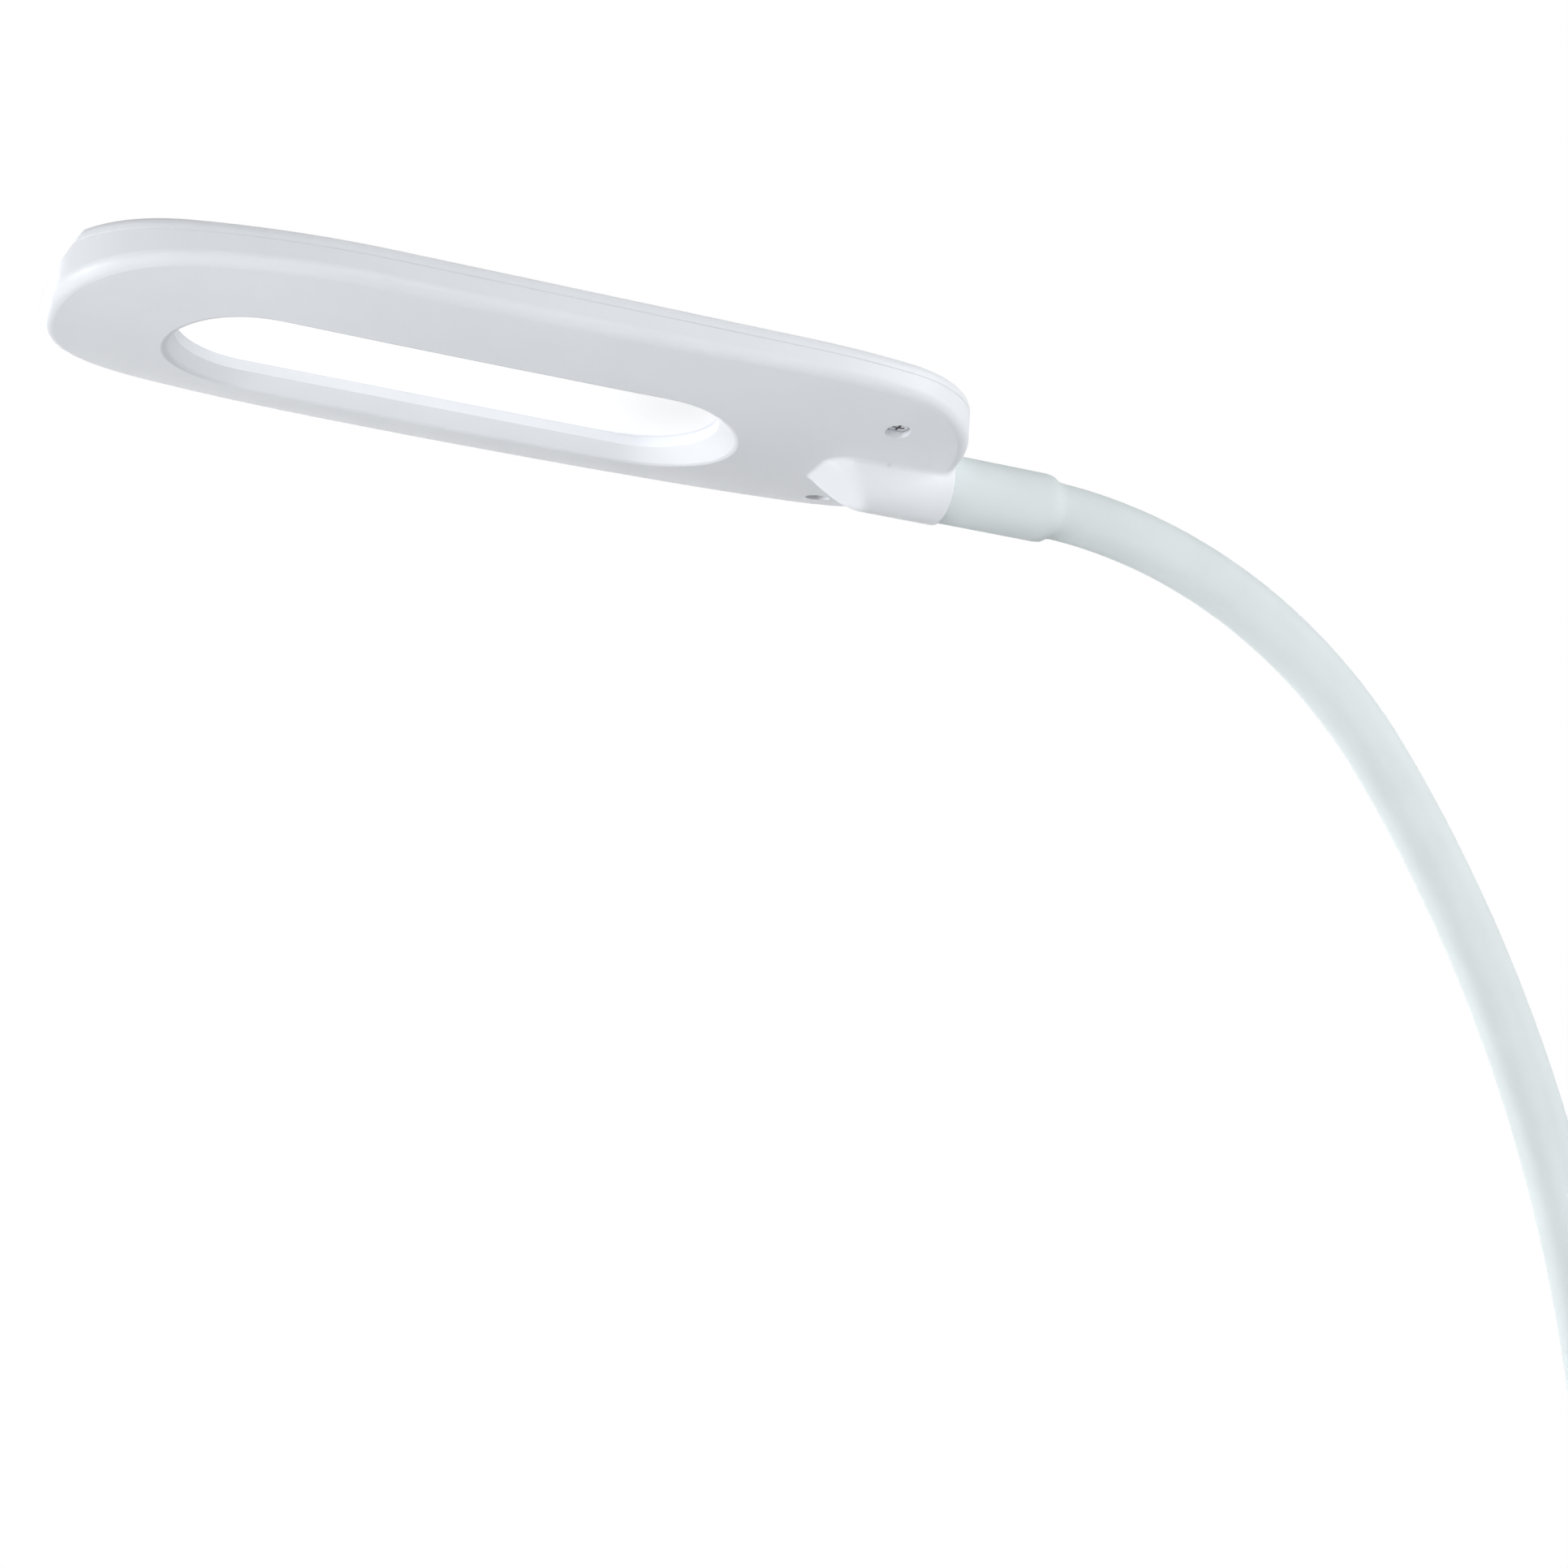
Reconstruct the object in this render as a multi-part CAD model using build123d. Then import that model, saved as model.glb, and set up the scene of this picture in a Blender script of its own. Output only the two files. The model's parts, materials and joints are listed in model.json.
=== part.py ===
"""Clip on reading lamp: a flat LED head on a gooseneck that stands in a sprung desk clip.

Millimetres, +Z up. The origin is the middle of the upper jaw's grip face. The jaws and the
head point to -X, the squeeze handles to +X, and the lamp is symmetric about the XZ plane.
"""
from build123d import *
from math import atan2, cos, degrees, pi, radians, sin, sqrt, tan
import os

# Lamp head, in its own frame: x from the tip to the neck, z up, origin at the window's centre
HEAD_CENTRE_X = 12.3
HEAD_HALF_LENGTH = 94.55
HEAD_HALF_WIDTH = 37.5
HEAD_HEIGHT = 13.4
SHOULDER_RADIUS = 130.0
END_RADIUS = 132.0
TIP_STRAIGHT = 35.0
TIP_CORNER_RADIUS = 30.5
NECK_STRAIGHT = 50.0
NECK_CORNER_RADIUS = 26.0
CROWN_RADIUS = 127.0
CROWN_LENGTH_RADIUS = 2600.0
CROWN_XS = (-105.0, -30.0, 45.0, 120.0)
LOWER_EDGE_RADIUS = 2.6
UPPER_EDGE_RADIUS = 1.8
TIP_FACET_FOOT_Z = 6.3
TIP_FACET_ANGLE = 34.0
PARTING_Z = 10.7
PARTING_CHAMFER = 0.25
HOLLOW_FLOOR_Z = 3.4
HOLLOW_CROWN_RADIUS = 170.0
WALL = 2.0
LID_WALL = 1.8
LIP_GAP = 0.15
LIP_THICKNESS = 1.2
LIP_DEPTH = 1.4
RIB_XS = (-45, -15, 15, 45)
RIB_THICKNESS = 1.2
RIB_HALF_LENGTH = 15.0

# Light window and the stack behind it
WINDOW_END_XS = (-57.1, 55.35)
WINDOW_WIDTH = 32.3
BEVEL_TOP_Z = 4.6
BEVEL_ANGLE = 44.0
TIP_BEVEL_ANGLE = 17.0
WINDOW_RIM_RADIUS = 1.2
DIFFUSER_Z = 6.9
DIFFUSER_THICKNESS = 0.8
GUIDE_THICKNESS = 2.0
REFLECTOR_THICKNESS = 0.25
BACK_PLATE_THICKNESS = 0.5
STACK_LENGTH = 117.0
STACK_WIDTH = 38.6
TRAY_GAP = 0.15
TRAY_WALL = 1.6
GUIDE_INSET = 1.75
STRIP_LENGTH = 74.0
STRIP_THICKNESS = 0.8
CHIP_LENGTH = 3.5
CHIP_DEPTH = 0.6
CHIP_HEIGHT = 1.4
CHIPS_PER_STRIP = 12
WIRE_RADIUS = 0.6
WIRE_SLOT_X = (35.0, 39.0)

# Collar under the head, which takes the neck
COLLAR_RADIUS = 8.2
COLLAR_END_X = 107.0
COLLAR_FACET_START_X = 78.3
COLLAR_FACET_START_Z = 1.15
COLLAR_FACET_ANGLE = 33.5
COLLAR_FACET_RADIUS = 4.0
COLLAR_ROOT_RADIUS = 1.2
COLLAR_END_RADIUS = 0.5
SLEEVE_SOCKET_DEPTH = 7.5
SOCKET_WALL = 1.5
NECK_AXIS_Z = 2.2

# Screws that hold the head's covers
HEAD_SCREW_X = 87.4
HEAD_SCREW_Y = 22.2
HEAD_SCREW_RECESS_RADIUS = 2.65
HEAD_SCREW_RECESS_Z = 5.9
HEAD_SCREW_RADIUS = 1.1
HEAD_SCREW_HEAD_RADIUS = 2.4
HEAD_SCREW_HEAD_HEIGHT = 1.5
HEAD_SCREW_TOP_Z = 12.1
SCREW_GAP = 0.05
BOSS_WALL = 1.6
POST_RADIUS = 3.0

# Saddle that clamps the neck's ferrule in the head
SADDLE_START_X = 86.5
SADDLE_END_X = 98.0
SADDLE_HALF_WIDTH = 14.5
SADDLE_SPLIT_Z = 6.0
SADDLE_GAP = 0.1
SADDLE_TOP_Z = 10.3
SADDLE_STEP_Z = 8.3
SADDLE_CREST_HALF_WIDTH = 7.6
SADDLE_SCREW_X = 94.5
SADDLE_SCREW_Y = 11.0
SADDLE_SCREW_HEAD_RADIUS = 2.0
SADDLE_SCREW_HEAD_HEIGHT = 1.4
SADDLE_SCREW_LENGTH = 6.2
WIRE_PASSAGE_RADIUS = 3.2
WIRE_PASSAGE_START_X = 82.0
WIRE_PASSAGE_RISE = 1.2

# Gooseneck, from the clip up to the head: straight, two arcs, straight
NECK_X = 22.0
NECK_FOOT_Z = 13.0
NECK_BEND_Z = 58.0
LOWER_BEND_RADIUS = 300.0
LOWER_BEND_ANGLE = 36.5
UPPER_BEND_RADIUS = 110.0
HEAD_BEND_X = 129.5
HEAD_FERRULE_START_X = 91.0
JOINT_COUNT = 8
FIRST_JOINT_Z = 55.0
LAST_JOINT_SETBACK = 10.0
BEND_LIMIT = 22.0
BEND_MARGIN = 4.0
SLEEVE_RADIUS = 6.2
SLEEVE_BORE = 4.9
CORE_RADIUS = 4.8
CORE_BORE = 2.6
BALL_RADIUS = 3.5
BALL_GAP = 0.05
STEM_RADIUS = 2.4
STEM_TOP = 3.3
CUP_RADIUS = 4.7
CUP_DEPTH = 6.0
CUP_RIM = 0.9
BALL_BORE = 1.8
FLARE_RADIUS = 3.3
CABLE_RADIUS = 1.4
CABLE_END_GAP = 0.4

# Ferrules and the swollen sleeve ends over them
FERRULE_RADIUS = 6.1
FERRULE_BORE = 4.85
FLANGE_RADIUS = 6.9
FLANGE_THICKNESS = 1.6
SWELL_RADIUS = 7.5
SWELL_END_X = 131.2
CLIP_SWELL = (10.8, 33.0)
SHOULDER_LENGTH = 2.8
FIT_GAP = 0.05

# Clip: jaws, handles and hinge
CLIP_HALF_WIDTH = 19.0
CLIP_WALL = 2.0
CLIP_EDGE_RADIUS = 3.0
PAD_LENGTH = 40.0
PAD_WIDTH = 32.0
PAD_THICKNESS = 3.0
JAW_GAP = 5.5
NOSE_X = -24.0
NOSE_TOP_Z = 14.0
TOWER_TOP_Z = 22.0
TOWER_ROOF = 3.0
TOWER_FOOT_XS = (2.0, 52.0)
TOWER_TOP_XS = (10.0, 34.0)
HANDLE_END_X = 92.0
HANDLE_BEND_X = 56.0
HANDLE_RISE = 11.0
HANDLE_THICKNESS = 6.0
HANDLE_ROOT_Z = 11.0
GRIP_RIB_XS = (66.0, 70.5, 75.0, 79.5, 84.0)
GRIP_RIB_RADIUS = 1.1
GRIP_RIB_PROUD = 0.7
GRIP_RIB_HALF_LENGTH = 12.0
JAW_DEPTH = 7.5
JAW_NOSE_DEPTH = 4.5
JAW_TAPER_X = -12.0
JAW_FLOOR = 2.6
JAW_POCKET_XS = ((-16.0, 15.0), (17.4, 48.0))
JAW_RIB = 1.4
JAW_EDGE_RADIUS = 2.0
BASE_THICKNESS = 2.4
BASE_GAP = 0.2
HINGE_X = 40.0
EAR_RADIUS = 5.2
EAR_LENGTH = 12.0
BASE_EAR_Y = 13.2
JAW_EAR_Y = 9.8
EAR_THICKNESS = 3.0
PIN_RADIUS = 2.0
PIN_GAP = 0.05
PIN_HALF_LENGTH = 18.2
RETAINER_RADIUS = 3.6
RETAINER_THICKNESS = 0.7
COLLAR_RING_RADIUS = 10.0
COLLAR_RING_HEIGHT = 4.0
COLLAR_RING_EDGE = 1.2
CLIP_FERRULE_LENGTH = 32.0
CLIP_FLANGE_RADIUS = 7.3
NUT_ACROSS_FLATS = 17.0
NUT_HEIGHT = 4.0
WASHER_RADIUS = 8.6
WASHER_THICKNESS = 0.8
CLIP_SCREW_XS = (-16.5, 51.0)
CLIP_SCREW_Y = 12.5
CLIP_SCREW_RADIUS = 1.1
CLIP_SCREW_HEAD_RADIUS = 2.2
CLIP_SCREW_HEAD_HEIGHT = 1.5
CLIP_SCREW_TOP_Z = 10.5
CLIP_BOSS_RADIUS = 2.8

# Controls and inlet in the clip
BOARD_X = (-13.0, 11.0)
BOARD_HALF_WIDTH = 14.0
BOARD_Z = 6.2
BOARD_THICKNESS = 1.0
BUTTON_X = -6.0
BUTTON_RADIUS = 5.5
BUTTON_GAP = 0.2
BUTTON_PROUD = 1.0
BUTTON_TRAVEL = 0.8
BUTTON_FLANGE_RADIUS = 6.8
BUTTON_FLANGE_THICKNESS = 1.0
BUTTON_FLANGE_GAP = 0.1
SWITCH_SIZE = 6.0
SWITCH_HEIGHT = 2.0
PLUNGER_RADIUS = 1.6
PLUNGER_GAP = 0.1
INLET_X = 3.0
INLET_WIDTH = 8.94
INLET_HEIGHT = 3.16
INLET_DEPTH = 7.3
INLET_SHELL = 0.3
INLET_TONGUE_WIDTH = 6.7
INLET_TONGUE_THICKNESS = 0.7
INLET_TONGUE_LENGTH = 4.5

# Torsion spring round the hinge pin
SPRING_WIRE_RADIUS = 0.8
SPRING_COIL_RADIUS = 4.2
SPRING_PITCH = 2.3
SPRING_TURNS = 4.5
SPRING_LEG = 13.0
SPRING_SEAT_LENGTH = 5.0
SPRING_SEAT_Y = (2.0, 9.0)

# Places worked out from the sizes above
HINGE_Z = -JAW_GAP / 2
BASE_Z = PAD_THICKNESS
JAW_TOP_Z = -JAW_GAP - PAD_THICKNESS
UPPER_BEND_ANGLE = 90.0 - LOWER_BEND_ANGLE
BEND_SPAN_X = (
    LOWER_BEND_RADIUS * (1 - cos(radians(LOWER_BEND_ANGLE)))
    + UPPER_BEND_RADIUS * cos(radians(LOWER_BEND_ANGLE))
)
BEND_SPAN_Z = (
    LOWER_BEND_RADIUS * sin(radians(LOWER_BEND_ANGLE))
    + UPPER_BEND_RADIUS * (1 - sin(radians(LOWER_BEND_ANGLE)))
)
HEAD_X = NECK_X - BEND_SPAN_X - HEAD_BEND_X
HEAD_Z = NECK_BEND_Z + BEND_SPAN_Z - NECK_AXIS_Z
HEAD_PLACE = Location((HEAD_X, 0, HEAD_Z))
GUIDE_Z = DIFFUSER_Z + DIFFUSER_THICKNESS
REFLECTOR_Z = GUIDE_Z + GUIDE_THICKNESS
BACK_PLATE_Z = REFLECTOR_Z + REFLECTOR_THICKNESS
LID_CEILING_Z = HEAD_HEIGHT - LID_WALL
TRAY_LENGTH = STACK_LENGTH + 2 * (TRAY_GAP + TRAY_WALL)
TRAY_WIDTH = STACK_WIDTH + 2 * (TRAY_GAP + TRAY_WALL)
HEAD_SCREW_YS = (-HEAD_SCREW_Y, HEAD_SCREW_Y)
SADDLE_SCREW_YS = (-SADDLE_SCREW_Y, SADDLE_SCREW_Y)
FLANGE_RECESS_X = (HEAD_FERRULE_START_X - 0.1, HEAD_FERRULE_START_X + FLANGE_THICKNESS + 0.1)
NOSE_CEILING_Z = NOSE_TOP_Z - CLIP_WALL
TOWER_CEILING_Z = TOWER_TOP_Z - TOWER_ROOF
BASE_TOP_Z = BASE_Z + BASE_THICKNESS
BOARD_TOP_Z = BOARD_Z + BOARD_THICKNESS
BUTTON_UNDER_Z = NOSE_CEILING_Z - BUTTON_FLANGE_GAP - BUTTON_FLANGE_THICKNESS
INLET_Z = BOARD_TOP_Z + INLET_HEIGHT / 2
CLIP_SCREW_PLACES = [(x, y) for x in CLIP_SCREW_XS for y in (-CLIP_SCREW_Y, CLIP_SCREW_Y)]
SPRING_SEAT_X = (HINGE_X + SPRING_LEG - SPRING_SEAT_LENGTH, HINGE_X + SPRING_LEG)
SPRING_REACH = SPRING_COIL_RADIUS + SPRING_WIRE_RADIUS + FIT_GAP

os.makedirs("parts", exist_ok=True)


def save(name, *solids):
    """Write one named piece, or a group of like pieces, to its own file."""
    shape = solids[0] if len(solids) == 1 else Compound(children=list(solids))
    shape.label = name
    export_step(shape, f"parts/{name}.step")


def save_head(name, *solids):
    """Write a piece that was drawn in the head's own frame."""
    save(name, *[solid.moved(HEAD_PLACE) for solid in solids])


def block(x, y, z):
    """A box from three (low, high) pairs."""
    size = [high - low for low, high in (x, y, z)]
    return Pos(sum(x) / 2, sum(y) / 2, sum(z) / 2) * Box(*size)


def rod_x(radius, x, z):
    return Pos(sum(x) / 2, 0, z) * Rot(0, 90, 0) * Cylinder(radius, x[1] - x[0])


def rod_y(radius, y, x, z):
    return Pos(x, sum(y) / 2, z) * Rot(90, 0, 0) * Cylinder(radius, y[1] - y[0])


def rod_z(radius, z, x=0.0, y=0.0):
    return Pos(x, y, sum(z) / 2) * Cylinder(radius, z[1] - z[0])


def both_sides(shape):
    """A piece and its mirror image across the lamp's plane of symmetry."""
    return [shape, mirror(shape, about=Plane.XZ)]


def slot_solid(length, width, z):
    """A solid with a stadium outline, long along x."""
    return Pos(0, 0, z[0]) * extrude(SlotOverall(length, width), amount=z[1] - z[0])


# Lamp head covers


def arc_about(centre, start, end):
    """The short arc from start to end about a centre."""
    spread = (start - centre) + (end - centre)
    middle = centre + spread.normalized() * (start - centre).length
    return ThreePointArc(start, middle, end)


def outline_end(side, straight, corner_radius, inset):
    """Edges that round one end of the head's outline, from the far side to the near one."""
    shoulder = Vector(side * straight, HEAD_HALF_WIDTH - SHOULDER_RADIUS)
    end = Vector(side * (HEAD_HALF_LENGTH - END_RADIUS), 0)
    gap = end - shoulder
    reach = SHOULDER_RADIUS - corner_radius
    end_reach = END_RADIUS - corner_radius
    along = (reach**2 - end_reach**2 + gap.length**2) / (2 * gap.length)
    across = sqrt(reach**2 - along**2)
    gap_way = gap.normalized()
    corner = shoulder + gap_way * along + Vector(gap_way.Y, -gap_way.X) * across * side
    start = Vector(side * straight, HEAD_HALF_WIDTH - inset)
    into_corner = shoulder + (corner - shoulder).normalized() * (SHOULDER_RADIUS - inset)
    into_end = end + (corner - end).normalized() * (END_RADIUS - inset)

    def near(point):
        return Vector(point.X, -point.Y)

    return [
        arc_about(shoulder, start, into_corner),
        arc_about(corner, into_corner, into_end),
        arc_about(end, into_end, near(into_end)),
        arc_about(near(corner), near(into_end), near(into_corner)),
        arc_about(near(shoulder), near(into_corner), near(start)),
    ]


def head_outline(inset):
    """The head's plan, drawn in by an inset."""
    half_width = HEAD_HALF_WIDTH - inset
    edges = outline_end(1, NECK_STRAIGHT, NECK_CORNER_RADIUS, inset)
    edges += outline_end(-1, TIP_STRAIGHT, TIP_CORNER_RADIUS, inset)
    for side in (1, -1):
        edges.append(Line((-TIP_STRAIGHT, side * half_width), (NECK_STRAIGHT, side * half_width)))
    return Pos(HEAD_CENTRE_X, 0) * make_face(edges)


def plan_block(inset, z):
    """The head's plan, drawn in by an inset, raised between two heights."""
    return Pos(0, 0, z[0]) * extrude(head_outline(inset), amount=z[1] - z[0])


def crowned_space():
    """All that lies above the underside, which is crowned across and, more gently, lengthwise."""
    reach = 60.0
    top = 40.0
    edge_rise = CROWN_RADIUS - sqrt(CROWN_RADIUS**2 - reach**2)
    sections = []
    for x in CROWN_XS:
        low = x**2 / (2 * CROWN_LENGTH_RADIUS)
        across = ThreePointArc((-reach, low + edge_rise), (0, low), (reach, low + edge_rise))
        rest = Polyline((reach, low + edge_rise), (reach, top), (-reach, top), (-reach, low + edge_rise))
        sections.append(Plane.YZ.offset(x) * make_face([across, rest]))
    return loft(sections)


def tip_knife(inset):
    """All that lies past the slanted facet over the tip, drawn in by an inset."""
    size = 60.0
    foot = Pos(HEAD_CENTRE_X - HEAD_HALF_LENGTH, 0, TIP_FACET_FOOT_Z)
    return foot * Rot(0, TIP_FACET_ANGLE, 0) * Pos(inset - size / 2, 0, 0) * Box(size, 2 * size, 2 * size)


def head_body():
    """The closed outer form of the head, with both edges rounded and the tip cut to its facet."""
    body = plan_block(0, (-1, HEAD_HEIGHT)) & crowned_space()
    lower = [e for e in body.edges() if max(v.Z for v in e.vertices()) < HEAD_HEIGHT - 1]
    body = fillet(lower, LOWER_EDGE_RADIUS)
    upper = [e for e in body.edges() if min(v.Z for v in e.vertices()) > HEAD_HEIGHT - 0.01]
    return fillet(upper, UPPER_EDGE_RADIUS) - tip_knife(0)


def below(z):
    return block((-200, 200), (-100, 100), (z - 100, z))


def above(z):
    return block((-200, 200), (-100, 100), (z, z + 100))


def collar():
    """Half-round collar with a slanted front facet."""
    size = 60.0
    knife = Pos(COLLAR_FACET_START_X, 0, COLLAR_FACET_START_Z)
    knife = knife * Rot(0, COLLAR_FACET_ANGLE, 0) * Pos(0, 0, -size / 2) * Box(size, size, size)
    front = rod_x(COLLAR_RADIUS, (COLLAR_FACET_START_X - 8, SADDLE_END_X), NECK_AXIS_Z)
    front = (front & below(NECK_AXIS_Z + 0.4)) - knife
    front = fillet(front.edges().filter_by(GeomType.ELLIPSE), COLLAR_FACET_RADIUS)
    ring = rod_x(COLLAR_RADIUS, (SADDLE_START_X + 5, COLLAR_END_X), NECK_AXIS_Z)
    end_edge = [e for e in ring.edges() if min(v.X for v in e.vertices()) > COLLAR_END_X - 0.01]
    return front + fillet(end_edge, COLLAR_END_RADIUS)


def window_slot(tip_x, neck_x, width, z):
    """A stadium between two ends along the head, at a height."""
    return Pos((tip_x + neck_x) / 2, 0, z) * SlotOverall(neck_x - tip_x, width)


def window_cut():
    """The light window's straight throat and its flared bevel."""
    drop = 7.6
    spread = drop * tan(radians(BEVEL_ANGLE))
    tip_spread = drop * tan(radians(TIP_BEVEL_ANGLE))
    tip_x, neck_x = WINDOW_END_XS
    upper = window_slot(tip_x, neck_x, WINDOW_WIDTH, BEVEL_TOP_Z)
    lower = window_slot(tip_x - tip_spread, neck_x + spread, WINDOW_WIDTH + 2 * spread, BEVEL_TOP_Z - drop)
    bevel = loft([lower, upper], ruled=True)
    throat = extrude(window_slot(tip_x, neck_x, WINDOW_WIDTH, BEVEL_TOP_Z - 0.01), amount=DIFFUSER_Z)
    return bevel + throat


def head_cavity():
    """The lower cover's hollow, with the light tray, neck cradle and screw bosses left standing."""
    deep = -10
    floor = rod_x(HOLLOW_CROWN_RADIUS, (-200, 200), HOLLOW_FLOOR_Z + HOLLOW_CROWN_RADIUS)
    cavity = (plan_block(WALL, (0, PARTING_Z + 5)) & floor) - tip_knife(WALL)
    cavity -= slot_solid(TRAY_LENGTH, TRAY_WIDTH, (deep, BACK_PLATE_Z))
    cradle_y = (-SADDLE_HALF_WIDTH, SADDLE_HALF_WIDTH)
    cavity -= block((SADDLE_START_X, COLLAR_END_X), cradle_y, (deep, SADDLE_SPLIT_Z))
    socket_x = (COLLAR_END_X - SLEEVE_SOCKET_DEPTH - SOCKET_WALL, COLLAR_END_X)
    cavity -= rod_x(COLLAR_RADIUS, socket_x, NECK_AXIS_Z)
    boss_z = (deep, HEAD_SCREW_RECESS_Z + BOSS_WALL)
    for y in HEAD_SCREW_YS:
        cavity -= rod_z(HEAD_SCREW_RECESS_RADIUS + BOSS_WALL, boss_z, HEAD_SCREW_X, y)
    return cavity


def ferrule_seat():
    """The room that the neck's ferrule, its flange and the wires take in the lower cover."""
    ferrule = FERRULE_RADIUS + FIT_GAP
    flange = FLANGE_RADIUS + FIT_GAP
    drop_z = (NECK_AXIS_Z, SADDLE_SPLIT_Z + 1)
    ferrule_x = (HEAD_FERRULE_START_X, COLLAR_END_X)
    seat = rod_x(ferrule, ferrule_x, NECK_AXIS_Z)
    seat += block((HEAD_FERRULE_START_X, SADDLE_END_X), (-ferrule, ferrule), drop_z)
    seat += rod_x(flange, FLANGE_RECESS_X, NECK_AXIS_Z)
    seat += block(FLANGE_RECESS_X, (-flange, flange), drop_z)
    socket_x = (COLLAR_END_X - SLEEVE_SOCKET_DEPTH, COLLAR_END_X + 5)
    seat += rod_x(SWELL_RADIUS + FIT_GAP, socket_x, NECK_AXIS_Z)
    passage_x = (WIRE_PASSAGE_START_X, HEAD_FERRULE_START_X)
    return seat + rod_x(WIRE_PASSAGE_RADIUS, passage_x, NECK_AXIS_Z + WIRE_PASSAGE_RISE)


def head_bottom_cover(body):
    """Crowned lower cover with the light window, the neck collar and the screw recesses."""
    outer = (body & below(PARTING_Z)) - window_cut()
    rim = [
        e for e in outer.edges()
        if abs(e.center().X) < STACK_LENGTH * 0.57 and abs(e.center().Y) < WINDOW_WIDTH * 0.8
        and e.center().Z < BEVEL_TOP_Z - 1
        and e.geom_type == GeomType.BSPLINE
    ]
    outer = fillet(rim, WINDOW_RIM_RADIUS)
    outer += collar() & below(PARTING_Z)
    root = [
        e for e in outer.edges()
        if COLLAR_FACET_START_X - 2 < e.center().X < COLLAR_END_X - 6
        and abs(e.center().Y) < COLLAR_RADIUS + 1
        and -0.5 < e.center().Z < 3.5
        and e.geom_type in (GeomType.BSPLINE, GeomType.OTHER)
    ]
    cover = fillet(root, COLLAR_ROOT_RADIUS) - head_cavity()

    stack_size = (STACK_LENGTH + 2 * TRAY_GAP, STACK_WIDTH + 2 * TRAY_GAP)
    cover -= slot_solid(*stack_size, (DIFFUSER_Z, PARTING_Z + 5))
    wire_slot = block(WIRE_SLOT_X, (STACK_WIDTH / 2 - 1, TRAY_WIDTH / 2 + 1), (GUIDE_Z, PARTING_Z))
    for slot in both_sides(wire_slot):
        cover -= slot
    cover -= ferrule_seat()
    saddle_hole_z = (SADDLE_STEP_Z + SADDLE_SCREW_HEAD_HEIGHT - SADDLE_SCREW_LENGTH - 0.2, SADDLE_TOP_Z)
    for y in SADDLE_SCREW_YS:
        cover -= rod_z(HEAD_SCREW_RADIUS + SCREW_GAP, saddle_hole_z, SADDLE_SCREW_X, y)
    for y in HEAD_SCREW_YS:
        cover -= rod_z(HEAD_SCREW_RECESS_RADIUS, (-5, HEAD_SCREW_RECESS_Z), HEAD_SCREW_X, y)
        cover -= rod_z(HEAD_SCREW_RADIUS + 0.2, (0, PARTING_Z), HEAD_SCREW_X, y)
    return cover


def head_top_cover(body):
    """Shallow lid with a locating lip, two screw posts and ribs that press on the light stack."""
    lid = body & above(PARTING_Z)
    parting = [e for e in lid.edges() if max(v.Z for v in e.vertices()) < PARTING_Z + 0.01]
    hollow = plan_block(WALL, (0, LID_CEILING_Z)) - tip_knife(WALL)
    lid = chamfer(parting, PARTING_CHAMFER) - hollow
    lip_inset = WALL + LIP_GAP
    lip = plan_block(lip_inset, (PARTING_Z - LIP_DEPTH, LID_CEILING_Z))
    lip -= plan_block(lip_inset + LIP_THICKNESS, (0, HEAD_HEIGHT))
    lip -= tip_knife(lip_inset)
    lip -= block((SADDLE_END_X, COLLAR_END_X), (-COLLAR_RADIUS - 2, COLLAR_RADIUS + 2), (0, PARTING_Z))
    lid += lip
    post_z = (HEAD_SCREW_RECESS_Z + BOSS_WALL + 0.1, LID_CEILING_Z + 0.2)
    for y in HEAD_SCREW_YS:
        lid += rod_z(POST_RADIUS, post_z, HEAD_SCREW_X, y)
        hole = (post_z[0] - 1, HEAD_SCREW_TOP_Z + 0.2)
        lid -= rod_z(HEAD_SCREW_RADIUS + SCREW_GAP, hole, HEAD_SCREW_X, y)
    rib_z = (BACK_PLATE_Z + BACK_PLATE_THICKNESS, LID_CEILING_Z + 0.2)
    for x in RIB_XS:
        rib_x = (x - RIB_THICKNESS / 2, x + RIB_THICKNESS / 2)
        lid += block(rib_x, (-RIB_HALF_LENGTH, RIB_HALF_LENGTH), rib_z)
    return lid


def screw(head_radius, head_height, radius, z):
    """A pan head screw along z with a cross recess, head down, from z[0] to z[1]."""
    shank = rod_z(radius, (z[0] + head_height / 2, z[1]))
    head = rod_z(head_radius, (z[0], z[0] + head_height))
    rim = [e for e in head.edges() if e.center().Z < z[0] + 0.01]
    head = fillet(rim, head_height * 0.4)
    body = head + shank
    arm = head_radius * 0.6
    for turn in (0, 90):
        body -= Rot(0, 0, turn) * block((-arm, arm), (-0.3, 0.3), (z[0] - 0.1, z[0] + head_height * 0.45))
    return body


def neck_saddle():
    """Clamp that presses the ferrule into the lower cover."""
    ends = (SADDLE_START_X, SADDLE_END_X)
    saddle_y = (-SADDLE_HALF_WIDTH, SADDLE_HALF_WIDTH)
    saddle = block(ends, saddle_y, (SADDLE_SPLIT_Z + SADDLE_GAP, SADDLE_TOP_Z))
    shelf = block(ends, (SADDLE_CREST_HALF_WIDTH, SADDLE_HALF_WIDTH + 1), (SADDLE_STEP_Z, SADDLE_TOP_Z + 1))
    for side in both_sides(shelf):
        saddle -= side
    saddle -= rod_x(FERRULE_RADIUS + FIT_GAP, (SADDLE_START_X - 1, SADDLE_END_X + 1), NECK_AXIS_Z)
    saddle -= rod_x(FLANGE_RADIUS + FIT_GAP, FLANGE_RECESS_X, NECK_AXIS_Z)
    for y in SADDLE_SCREW_YS:
        saddle -= rod_z(HEAD_SCREW_RADIUS + 0.1, (0, 20), SADDLE_SCREW_X, y)
    return saddle


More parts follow.
